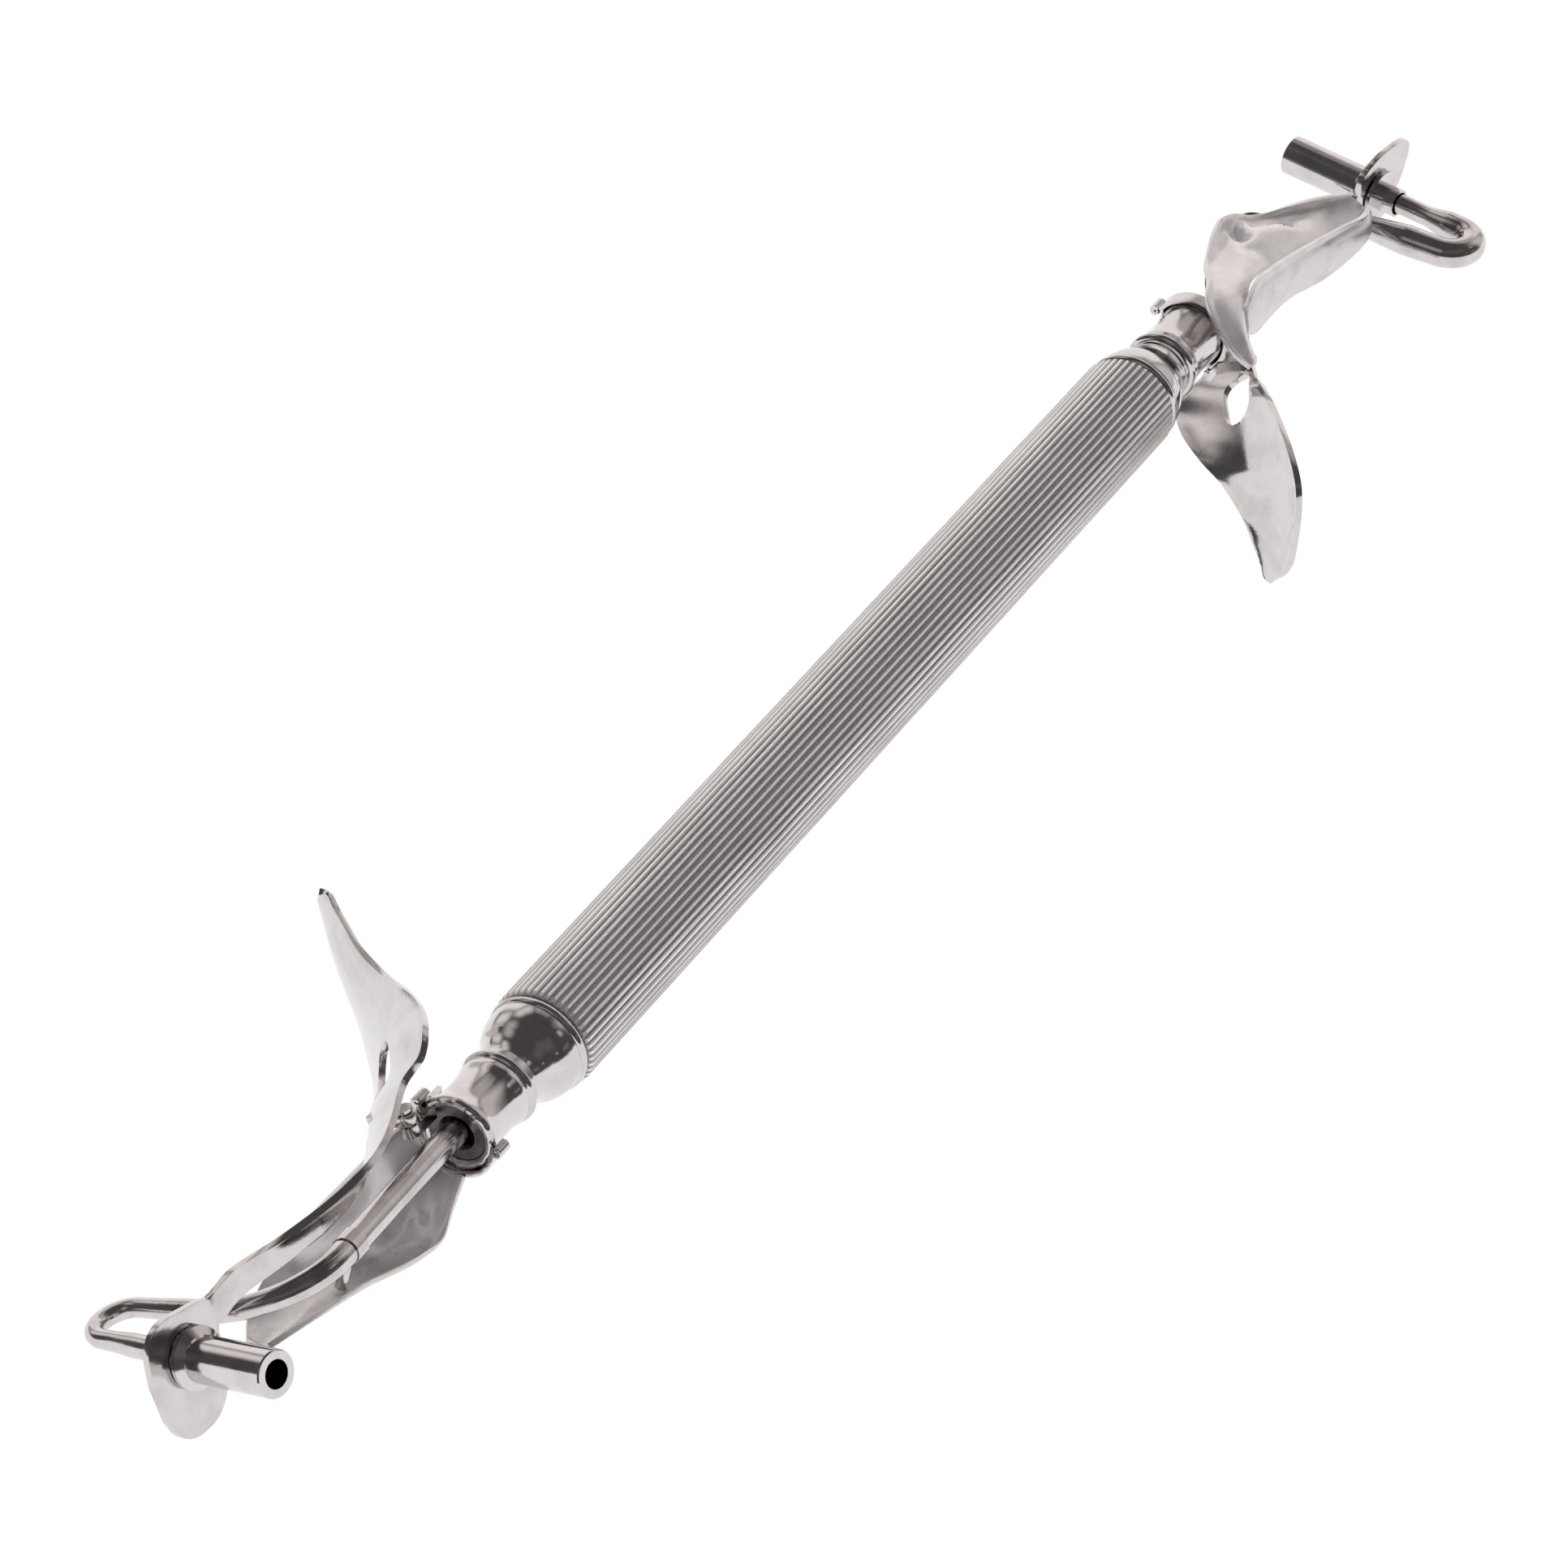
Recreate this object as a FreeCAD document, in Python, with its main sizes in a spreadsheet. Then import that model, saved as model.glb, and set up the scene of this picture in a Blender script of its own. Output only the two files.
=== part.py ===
import FreeCAD, Part
import Sketcher
import math
import os

V = FreeCAD.Vector
os.makedirs("parts", exist_ok=True)
doc = FreeCAD.newDocument("HookedHandBar")

# Every size is in millimetres or degrees. Along the bar, "At" sizes are measured from the middle of a bar
# whose tube ends at tubeEndAt; a longer or shorter tube (gripHalf) carries both ends with it.
sizes = {
    "gripRadius": 6.0, "ribDepth": 0.35, "ribCount": 46, "gripHalf": 67.2, "tubeEndAt": 67.2,
    "gripBore": 5.0, "gripRound": 0.9,
    "plugFit": 0.03, "plugAt": 57.0, "tieRadius": 2.0, "tieEndAt": 80.2, "runFit": 0.05,
    "beadAt": 67.25, "beadWidth": 1.0, "beadRadius": 5.85, "shoulderAt": 68.4, "shoulderRadius": 5.6,
    "waistAt": 71.5, "waistRadius": 4.75, "neckAt": 74.0, "neckRadius": 3.8, "capEndAt": 74.4,
    "shoulderCurve": 6.0, "waistCurve": 4.5, "beadSink": 0.3, "beadCurve": 0.56,
    "ringWidth": 0.45, "ringRadius": 3.95,
    "collarAt": 74.97, "flangeWidth": 0.95, "flangeRadius": 4.3, "collarRadius": 4.0,
    "rimAt": 82.9, "rimRadius": 4.25, "collarEndAt": 84.2, "boreRadius": 3.3, "webEndAt": 78.1,
    "flangeSlope": 0.3, "rimEase": 0.2, "bushProud": 0.05,
    "bushRadius": 2.5, "pressFit": 0.02,
    "nutAcross": 5.0, "nutWidth": 1.7, "nutAt": 78.35,
    "linerAt": 80.4, "linerSeatAt": 81.7, "linerEndAt": 83.8, "linerMouth": 1.85, "seatFit": 0.06,
    "mouthFlare": 0.25, "mouthDepth": 0.4,
    "wireRadius": 1.45, "legRadius": 1.25, "hookAt": 81.0, "hookTilt": 3.0,
    "rodLength": 5.5, "kinkRadius": 20.0, "kinkAngle": 4.5, "bendRadius": 9.9, "bendCentreAt": 108.4,
    "crossRun": 7.9, "eyeRadius": 2.95, "eyeTurn": 171.0, "legLength": 15.3,
    "sheet": 0.75, "pivotAt": 87.3, "pivotAcross": 2.4, "pinRadius": 0.57, "pinFit": 0.05,
    "pinHeadRadius": 0.95, "pinHeadHeight": 0.4,
    "bracketNear": 2.2, "bracketFar": 3.4, "bracketRadius": 1.15,
    "lugNear": 3.7, "lugFar": 4.9, "lugRadius": 1.3, "lugReach": 4.2, "pinHoleFit": 0.01, "pinSink": 0.2,
    "windowLength": 7.4, "windowWidth": 4.2, "slotLength": 7.6, "slotWidth": 2.8,
    "plateRun": 12.55, "plateTilt": 2.25, "plateHole": 2.65, "leadOff": 0.11,
    "sleeveRadius": 2.45, "sleeveBore": 1.5, "sleeveLength": 11.8, "bossRadius": 3.25, "bossWidth": 1.3,
    "bossEase": 0.25, "bossSlope": 0.6, "sleeveEase": 0.15,
    "spigotRadius": 2.1, "sideGap": 0.28, "ferruleRadius": 1.75, "ferruleLength": 2.9, "ferruleFlange": 3.2,
    "ferruleFlangeWidth": 0.5, "legFit": 0.2,
    "clipAt": 78.4, "clipWidth": 3.9, "clipFit": 0.02, "clipSheet": 0.8, "rollRadius": 0.8,
    "clipFrom": -57.0, "clipTo": 161.0, "rollTurn": 4.0, "rollLift": 0.25,
    "plateSheet": 0.8, "stayRadius": 2.15, "stayWidth": 2.0, "stayPin": 0.7,
    "stayBack": 3.2, "stayReach": 5.7, "stayLean": 58.0,
    "lockRadius": 0.4, "lockDepth": 1.6, "lockHead": 0.25, "lockAngle": 214.0, "lockFit": 0.01,
    "springSheet": 0.35, "springWidth": 1.6, "springAcross": 1.4,
    "footWidth": 1.8, "footHeight": 1.2, "footSink": 1.0,
    "rollA": -20.0, "rollB": 183.7,
    "plateInner": 4.6, "plateOuter": 3.9, "plateCorner": 2.4,
    "windowCut": 12.0, "slotCut": 4.0, "overcut": 1.0, "toolEase": 0.01,
}
sheet = doc.addObject("Spreadsheet::Sheet", "Sizes")
for row, (alias, number) in enumerate(sizes.items(), start=1):
    sheet.set("A%d" % row, alias)
    sheet.set("B%d" % row, str(number))
    sheet.setAlias("B%d" % row, alias)
doc.recompute()


# A number that remembers how it is worked out from the sheet.
class Size:
    def __init__(self, value, text):
        self.value = value
        self.text = text

    def joined(self, other, sign):
        if not isinstance(other, Size):
            other = Size(float(other), repr(float(other)))
        results = {
            "+": self.value + other.value,
            "-": self.value - other.value,
            "*": self.value * other.value,
        }
        return Size(results[sign], "(%s %s %s)" % (self.text, sign, other.text))

    def __add__(self, other):
        return self.joined(other, "+")

    def __sub__(self, other):
        return self.joined(other, "-")

    def __mul__(self, other):
        return self.joined(other, "*")


def size(alias):
    return Size(float(sheet.get(alias)), "Sizes." + alias)


def num(alias):
    return float(sheet.get(alias))


# Frames. An end frame has X outwards along the bar, Y towards the side the hook's eye is on, Z completes it.
def columns(x, y, z):
    matrix = FreeCAD.Matrix(x.x, y.x, z.x, 0, x.y, y.y, z.y, 0, x.z, y.z, z.z, 0, 0, 0, 0, 1)
    return FreeCAD.Placement(matrix)


def endFrame(side):
    roll = math.radians(num("rollA") if side > 0 else num("rollB"))
    out = V(-side, 0, 0)
    across = V(0, math.cos(roll), math.sin(roll))
    frame = columns(out, across, out.cross(across))
    frame.Base = out * (num("gripHalf") - num("tubeEndAt"))
    return frame


def hookFrame(side):
    return FreeCAD.Placement(V(num("hookAt"), 0, 0), FreeCAD.Rotation(V(0, 1, 0), side * num("hookTilt")))


nodes = []


def keep(label, feature, placement):
    feature.Label = label
    feature.Placement = placement
    nodes.append(feature)


# Turned pieces: a closed profile of (along, radius) corners, each corner bound to the sheet.
def turned(label, placement, corners, curves=None):
    curves = curves or {}
    body = doc.addObject("PartDesign::Body", label)
    profile = body.newObject("Sketcher::SketchObject", label + "_profile")
    plane = [item for item in body.Origin.OriginFeatures if item.Role == "XZ_Plane"][0]
    profile.AttachmentSupport = [(plane, "")]
    profile.MapMode = "FlatFace"
    count = len(corners)
    for index in range(count):
        start = V(corners[index][0].value, corners[index][1].value, 0)
        after = corners[(index + 1) % count]
        end = V(after[0].value, after[1].value, 0)
        if index in curves:
            curve, bulge = curves[index]
            chord = end - start
            reach = chord.Length / 2
            sideways = V(-chord.y, chord.x, 0).normalize() * bulge
            height = curve.value - math.sqrt(max(curve.value ** 2 - reach ** 2, 0.0))
            middle = (start + end) * 0.5 + sideways * height
            profile.addGeometry(Part.Arc(start, middle, end), False)
        else:
            profile.addGeometry(Part.LineSegment(start, end), False)
    # An arc drawn clockwise is stored the other way round, so its ends are looked up by position.
    ends = []
    for index in range(count):
        start = V(corners[index][0].value, corners[index][1].value, 0)
        first = profile.getPoint(index, 1)
        ends.append((1, 2) if (first - start).Length < 1e-6 else (2, 1))
    for index in range(count):
        after = (index + 1) % count
        profile.addConstraint(Sketcher.Constraint("Coincident", index, ends[index][1], after, ends[after][0]))
        for kind, number in (("DistanceX", corners[index][0]), ("DistanceY", corners[index][1])):
            if abs(number.value) < 1e-9:
                profile.addConstraint(Sketcher.Constraint("PointOnObject", index, ends[index][0], -2))
                continue
            place = profile.addConstraint(
                Sketcher.Constraint(kind, -1, 1, index, ends[index][0], number.value))
            profile.setExpression("Constraints[%d]" % place, number.text)
        if index in curves:
            place = profile.addConstraint(Sketcher.Constraint("Radius", index, curves[index][0].value))
            profile.setExpression("Constraints[%d]" % place, curves[index][0].text)
    spin = body.newObject("PartDesign::Revolution", label + "_turned")
    spin.Profile = profile
    spin.ReferenceAxis = (profile, ["H_Axis"])
    spin.Angle = 360
    body.Tip = spin
    keep(label, body, placement)
    return body


# Plain solids bound to the sheet; they point along their own Z.
def bound(kind, label, placement, **wanted):
    item = doc.addObject("Part::" + kind, label)
    for name, number in wanted.items():
        setattr(item, name, number.value if isinstance(number, Size) else number)
        if isinstance(number, Size):
            item.setExpression(name, number.text)
    item.Placement = placement
    return item


def along(x, y, z, direction):
    return FreeCAD.Placement(V(x, y, z), FreeCAD.Rotation(V(0, 0, 1), direction))


def spun(x, y, z, degrees):
    return FreeCAD.Placement(V(x, y, z), FreeCAD.Rotation(V(0, 0, 1), degrees))


def joinedUp(kind, label, placement, items):
    feature = doc.addObject("Part::" + kind, label)
    if kind == "Cut":
        feature.Base, feature.Tool = items
    else:
        feature.Shapes = items
    keep(label, feature, placement)
    return feature


def shaped(label, placement, shape):
    feature = doc.addObject("Part::Feature", label)
    feature.Shape = shape
    keep(label, feature, placement)
    return feature


# Grip tube: crests and valleys round the outside, both ends rounded off, a plain bore.
def gripTube():
    crest = num("gripRadius")
    valley = crest - num("ribDepth")
    count = int(num("ribCount"))
    half = num("gripHalf")
    step = 2 * math.pi / count

    def at(radius, angle):
        return V(0, radius * math.cos(angle), radius * math.sin(angle))

    edges = []
    # Shares of one rib's turn at which its flank ends, its crest ends and its valley starts.
    flankEnd = 0.18
    crestEnd = 0.48
    valleyStart = 0.66
    for rib in range(count):
        turn = rib * step
        corners = [(valley, 0.0), (crest, flankEnd), (crest, crestEnd), (valley, valleyStart), (valley, 1.0)]
        points = [at(radius, turn + share * step) for radius, share in corners]
        crestMiddle = at(crest, turn + (flankEnd + crestEnd) / 2 * step)
        valleyMiddle = at(valley, turn + (valleyStart + 1) / 2 * step)
        edges.append(Part.makeLine(points[0], points[1]))
        edges.append(Part.Arc(points[1], crestMiddle, points[2]).toShape())
        edges.append(Part.makeLine(points[2], points[3]))
        edges.append(Part.Arc(points[3], valleyMiddle, points[4]).toShape())
    ribbed = Part.Face(Part.Wire(edges)).extrude(V(2 * half, 0, 0))
    ribbed.translate(V(-half, 0, 0))
    ease = num("toolEase")
    over = num("overcut")
    envelope = Part.makeCylinder(crest + ease, 2 * half, V(-half, 0, 0), V(1, 0, 0))
    rims = [edge for edge in envelope.Edges if abs(abs(edge.CenterOfMass.x) - half) < ease]
    envelope = envelope.makeFillet(num("gripRound"), rims)
    bore = Part.makeCylinder(num("gripBore"), 2 * (half + over), V(-half - over, 0, 0), V(1, 0, 0))
    return ribbed.common(envelope).cut(bore)


level = FreeCAD.Placement()
shaped("grip_tube", level, gripTube())
tieEnd = size("tieEndAt") + size("gripHalf") - size("tubeEndAt")
tieRadius = size("tieRadius")
tieLong = bound("Cylinder", "tie_rod", level, Radius=tieRadius, Height=tieEnd * 2)
keep("tie_rod", tieLong, along(-tieEnd.value, 0, 0, V(1, 0, 0)))


# Lever stations: the free edge and the bar-side edge of the bent sheet, (along, across, down) each.
# The wing is shared by both ends; the arm behind it is bent to its own line at each end.
wing = [
    [(69.0, 19.9, -19.2), (68.5, 19.0, -18.9)],
    [(67.6, 21.5, -17.0), (69.3, 18.2, -17.6)],
    [(66.6, 22.8, -13.8), (70.9, 16.2, -16.2)],
    [(66.7, 23.0, -10.2), (72.9, 13.6, -14.6)],
    [(67.1, 22.8, -6.6), (74.6, 9.9, -12.6)],
    [(68.2, 21.8, -3.4), (76.5, 6.0, -12.1)],
    [(72.0, 18.6, -1.9), (79.6, 2.2, -12.2)],
    [(77.2, 14.2, -1.6), (83.0, -0.4, -12.1)],
    [(82.0, 10.4, -2.5), (85.4, -0.8, -10.4)],
    [(86.2, 7.4, -4.0), (88.0, 0.4, -8.8)],
]
arms = {
    1: [
        [(93.7, 2.7, -4.6), (94.4, -2.0, -8.1)],
        [(100.2, -0.6, -4.9), (100.6, -4.0, -8.4)],
        [(106.5, -0.9, -4.6), (106.5, -2.9, -7.8)],
        [(112.5, 0.5, -4.4), (112.5, -0.2, -7.2)],
        [(118.0, 2.1, -4.4), (118.0, 2.0, -7.4)],
        [(120.4, 3.0, -3.6), (120.4, 2.9, -6.7)],
        [(122.2, 3.44, -3.0), (122.2, 3.44, -6.1)],
    ],
    -1: [
        [(93.7, 2.6, -4.6), (94.6, -1.6, -8.3)],
        [(98.8, 0.0, -4.0), (100.2, -5.2, -8.4)],
        [(103.8, -2.0, -4.1), (105.2, -8.2, -6.9)],
        [(107.8, -2.3, -5.2), (110.0, -9.4, -4.2)],
        [(111.6, -1.2, -6.1), (114.0, -7.4, -3.0)],
        [(115.4, 0.2, -6.0), (117.2, -3.8, -2.5)],
        [(118.6, 2.1, -5.6), (119.0, 0.5, -1.6)],
        [(120.4, 3.0, -5.3), (120.5, 2.8, -0.4)],
        [(122.2, 3.44, -5.0), (122.2, 3.44, 0.7)],
    ],
}
# Each opening: its middle, the way its length runs and the way its width runs.
window = ((82.3, 7.0, -5.6), (0.9, -0.42, 0.07), (0, 0.75, 0.65))
slot = ((113.4, -3.3, -4.4), (8.0, 3.5, 0.6), (2.4, -6.3, 3.1))
# The tip plate's tail (inner and outer corner), its foot and how far the foot leans outwards.
tabTails = {1: (3.9, 5.4), -1: (3.4, 3.4)}
tabFoots = {1: 7.7, -1: 5.6}
tabLeans = {1: 1.7, -1: 2.8}


def flipped(point, side):
    return V(point[0], point[1], side * point[2])


def stripOf(stations, side, thick):
    pairs = [(flipped(free, side), flipped(inner, side)) for free, inner in stations]
    middles = [(free + inner) * 0.5 for free, inner in pairs]
    sections = []
    for index, (free, inner) in enumerate(pairs):
        before = middles[max(index - 1, 0)]
        after = middles[min(index + 1, len(middles) - 1)]
        normal = (after - before).cross(inner - free).normalize() * (thick / 2)
        sections.append(Part.makePolygon([free + normal, inner + normal, inner - normal, free - normal,
                                          free + normal]))
    return Part.makeLoft(sections, True, False)


# The free leg's line in the hook frame, with the run counted from the end of the eye.
def hookPoints():
    bend = num("bendRadius")
    kink = num("kinkRadius")
    tilt = math.radians(num("kinkAngle"))
    rodEnd = num("rodLength")
    kinkEnd = V(rodEnd + kink * math.sin(tilt), -kink * (1 - math.cos(tilt)), 0)
    heading = V(math.cos(tilt), -math.sin(tilt), 0)
    left = V(math.sin(tilt), math.cos(tilt), 0)
    centreX = num("bendCentreAt") - num("hookAt")
    straight = (centreX - kinkEnd.x - bend * left.x) / heading.x
    bendCentre = kinkEnd + heading * straight + left * bend
    crossStart = bendCentre + V(bend, 0, 0)
    eye = num("eyeRadius")
    eyeCentre = crossStart + V(eye, num("crossRun"), 0)
    rest = math.radians(180 - num("eyeTurn"))
    legStart = eyeCentre + V(math.cos(rest), math.sin(rest), 0) * eye
    legHeading = V(math.sin(rest), -math.cos(rest), 0)
    return {"kinkEnd": kinkEnd, "heading": heading, "straight": straight, "bendCentre": bendCentre,
            "crossStart": crossStart, "eyeCentre": eyeCentre, "legStart": legStart, "legHeading": legHeading}


hook = hookPoints()


# The tip plate swings on an arc, so it starts a little inside the leg's line and ends a little outside it.
def carriedPoint():
    heading = hook["legHeading"]
    sideways = V(-heading.y, heading.x, 0)
    return hook["legStart"] + heading * num("plateRun") - sideways * num("leadOff")


# Tip plate: a flat rounded tab square to the free leg half way through the lever's travel.
def tipPlate(side):
    thick = num("sheet")
    normal = hook["legHeading"]
    turn = FreeCAD.Rotation(V(0, 0, 1), -num("plateTilt"))
    normal = turn.multVec(normal)
    sideways = V(-normal.y, normal.x, 0)
    centre = hookFrame(side).multVec(carriedPoint())

    def at(x, z):
        return centre + sideways * x + V(0, 0, side * z)

    innerTail, outerTail = [-reach for reach in tabTails[side]]
    foot = tabFoots[side]
    lean = tabLeans[side]
    inner = num("plateInner")
    outer = num("plateOuter")
    corner = num("plateCorner")
    cornerMiddle = corner * (1 - math.sqrt(0.5))
    shoulder = foot - outer
    edges = [
        Part.makeLine(at(-inner, innerTail), at(-inner, shoulder - lean)),
        Part.Arc(at(-inner, shoulder - lean), at(lean, foot), at(outer + lean, shoulder)).toShape(),
        Part.makeLine(at(outer + lean, shoulder), at(outer, outerTail + corner)),
        Part.Arc(at(outer, outerTail + corner), at(outer - cornerMiddle, outerTail + cornerMiddle),
                 at(outer - corner, outerTail)).toShape(),
        Part.makeLine(at(outer - corner, outerTail), at(-inner, innerTail)),
    ]
    tab = Part.Face(Part.Wire(edges)).extrude(normal * thick)
    tab.translate(normal * (-thick / 2))
    reach = thick / 2 + num("overcut")
    hole = Part.makeCylinder(num("plateHole"), 2 * reach, centre - normal * reach, normal)
    return tab, hole


# The hinge pin's hole, as a tool that runs right across the end.
def pinHole(fit):
    reach = num("lugFar") + num("overcut")
    centre = V(num("pivotAt"), num("pivotAcross"), -reach)
    return Part.makeCylinder(num("pinRadius") + fit, 2 * reach, centre)


# A long round-ended hole through the sheet, cut by a tool as deep as it is needed.
def roundEnded(side, opening, long, wide, deep):
    centre, length, width = [flipped(item, side) for item in opening]
    length.normalize()
    width = (width - length * width.dot(length)).normalize()
    reach = (long - wide) / 2
    tool = Part.makeBox(2 * reach, wide, deep, V(-reach, -wide / 2, -deep / 2))
    for end in (-reach, reach):
        tool = tool.fuse(Part.makeCylinder(wide / 2, deep, V(end, 0, -deep / 2), V(0, 0, 1)))
    placed = columns(length, width, length.cross(width))
    placed.Base = centre
    tool.Placement = placed
    return tool


def lever(side):
    thick = num("sheet")
    body = stripOf(wing + arms[side], side, thick)
    body = body.cut(roundEnded(side, window, num("windowLength"), num("windowWidth"), num("windowCut")))
    if side < 0:
        body = body.cut(roundEnded(side, slot, num("slotLength"), num("slotWidth"), num("slotCut")))
    tab, hole = tipPlate(side)
    low, high = sorted((-side * num("lugNear"), -side * num("lugFar")))
    centre = V(num("pivotAt"), num("pivotAcross"), 0)
    round = num("lugRadius")
    lug = Part.makeBox(2 * round, num("lugReach"), high - low, V(centre.x - round, centre.y, low))
    lug = lug.fuse(Part.makeCylinder(round, high - low, V(centre.x, centre.y, low)))
    whole = body.fuse([tab, lug]).cut([hole, pinHole(num("pinFit"))])
    return whole.removeSplitter()


# Back plate: a curved plate beside the rod that narrows to a tongue, with a clip round the collar.
# Each station gives where it stands and three points of its outer curve, (across, down) each.
troughRoot = [
    (81.4, (4.45, -2.4), (3.6, 3.55), (0.5, 5.05)),
    (86.6, (4.6, -2.4), (4.1, 3.3), (0.3, 5.6)),
    (91.4, (4.6, -2.6), (4.9, 3.4), (0.2, 8.1)),
    (94.6, (4.6, -2.6), (4.9, 3.4), (0.2, 7.8)),
    (100.4, (4.9, -2.6), (4.9, 2.8), (0.2, 6.2)),
]
tongues = {
    1: [
        (106.0, (5.8, -2.0), (4.9, 2.4), (0.3, 4.6)),
        (111.0, (6.4, -0.4), (4.6, 2.3), (0.5, 3.5)),
        (114.6, (6.2, 0.9), (4.2, 2.5), (1.2, 3.0)),
        (117.4, (4.9, 1.9), (3.6, 2.6), (2.3, 2.9)),
    ],
    -1: [
        (106.0, (6.6, -2.6), (5.4, 2.0), (0.3, 4.6)),
        (111.0, (8.0, -1.6), (5.6, 1.7), (0.5, 3.5)),
        (114.6, (8.4, -0.6), (5.4, 1.7), (1.2, 3.0)),
        (117.4, (7.4, 0.7), (4.9, 2.0), (2.3, 2.9)),
    ],
}


def bowed(at, first, middle, last, thick, side):
    outer = [V(at, across, side * down) for across, down in (first, middle, last)]
    curve = Part.Arc(*outer).toShape()
    centre = curve.Curve.Center
    radius = curve.Curve.Radius
    inner = [centre + (point - centre) * ((radius - thick) / radius) for point in outer]
    return Part.Wire([
        curve,
        Part.makeLine(outer[2], inner[2]),
        Part.Arc(inner[2], inner[1], inner[0]).toShape(),
        Part.makeLine(inner[0], outer[0]),
    ])


def polar(radius, angle):
    turn = math.radians(angle)
    return (radius * math.cos(turn), radius * math.sin(turn))


def backPlate(side):
    thick = num("plateSheet")
    stations = troughRoot + tongues[side]
    sections = [bowed(at, first, middle, last, thick, side) for at, first, middle, last in stations]
    plate = Part.makeLoft(sections, True, False)
    inner = num("collarRadius") + num("clipFit")
    outer = inner + num("clipSheet")
    first = num("clipFrom")
    last = num("clipTo")
    spread = [polar(outer, angle) for angle in (first, (first + last) / 2, last)]
    ring = bowed(num("clipAt"), *spread, outer - inner, side)
    clip = Part.Face(ring).extrude(V(num("clipWidth"), 0, 0))
    rolls = []
    for angle in (first - num("rollTurn"), last + num("rollTurn")):
        across, down = polar(outer + num("rollLift"), angle)
        centre = V(num("clipAt"), across, side * down)
        rolls.append(Part.makeCylinder(num("rollRadius"), num("clipWidth"), centre, V(1, 0, 0)))
    over = num("overcut")
    barrel = Part.makeCylinder(inner, num("clipWidth") + 2 * over, V(num("clipAt") - over, 0, 0), V(1, 0, 0))
    rimAt = num("rimAt") - num("clipFit")
    rimLong = num("collarEndAt") + num("clipFit") - rimAt
    rim = Part.makeCylinder(num("rimRadius") + num("clipFit"), rimLong, V(rimAt, 0, 0), V(1, 0, 0))
    return plate.fuse([clip] + rolls).cut([barrel, rim]).removeSplitter()


# Hinge bracket: a tab standing on the collar's front face, drilled for the hinge pin.
def bracket(side):
    low, high = sorted((-side * num("bracketNear"), -side * num("bracketFar")))
    start = num("collarEndAt") + num("pressFit")
    centre = V(num("pivotAt"), num("pivotAcross"), low)
    round = num("bracketRadius")
    tab = Part.makeBox(centre.x - start, 2 * round, high - low, V(start, centre.y - round, low))
    tab = tab.fuse(Part.makeCylinder(round, high - low, centre, V(0, 0, 1)))
    return tab.cut(pinHole(num("pinHoleFit"))).removeSplitter()


def hingePin(side):
    top = -side * (num("bracketNear") - num("pinSink"))
    low = -side * (num("lugFar") + num("pinFit"))
    centre = V(num("pivotAt"), num("pivotAcross"), 0)
    shank = Part.makeCylinder(num("pinRadius"), abs(top - low), V(centre.x, centre.y, min(top, low)))
    head = Part.makeCylinder(num("pinHeadRadius"), num("pinHeadHeight"), V(centre.x, centre.y, low),
                             V(0, 0, -side))
    return shank.fuse(head).removeSplitter()


# Leaf spring: a bent strip that stands on the clip, its free end under the wing's outer arm.
def leafSpring(side):
    thick = num("springSheet")
    # The strip's lower line, and how far each corner of its upper line leans back, in sheet thicknesses.
    line = [(78.8, 4.6), (80.6, 4.6), (83.8, 7.4)]
    leans = (0.0, 0.35, 0.7)
    lower = [V(x, y, 0) for x, y in line]
    upper = [V(x - thick * lean, y + thick, 0) for (x, y), lean in zip(line, leans)]
    face = Part.Face(Part.makePolygon(lower + upper[::-1] + [lower[0]]))
    strip = face.extrude(V(0, 0, num("springWidth")))
    edge = -side * num("springAcross") - num("springWidth") / 2
    strip.translate(V(0, 0, edge))
    foot = Part.makeBox(num("footWidth"), num("footHeight"), num("springWidth"),
                        V(line[0][0], line[0][1] - num("footSink"), edge))
    outer = num("collarRadius") + num("clipFit") + num("clipSheet") + num("pressFit")
    seatLong = 2 * num("clipWidth")
    seat = Part.makeCylinder(outer, seatLong, V(num("clipAt") - seatLong / 4, 0, 0), V(1, 0, 0))
    return strip.fuse(foot).cut(seat).removeSplitter()


# Stay: a short tube round the rod with a pin that reaches the trough.
def stay(side):
    frame = hookFrame(side)
    start = hook["kinkEnd"] + hook["heading"] * (hook["straight"] - num("stayBack"))
    ring = Part.makeCylinder(num("stayRadius"), num("stayWidth"), start, hook["heading"])
    middle = start + hook["heading"] * (num("stayWidth") / 2)
    leanAcross, leanDown = polar(1, num("stayLean"))
    lean = V(0, leanAcross, side * leanDown)
    pin = Part.makeCylinder(num("stayPin"), num("stayReach"), middle, lean)
    boreLong = 3 * num("stayWidth")
    bore = Part.makeCylinder(num("wireRadius") + num("pressFit"), boreLong,
                             middle - hook["heading"] * (boreLong / 2), hook["heading"])
    whole = ring.fuse(pin).cut(bore)
    whole.Placement = frame
    return whole.removeSplitter()


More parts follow.
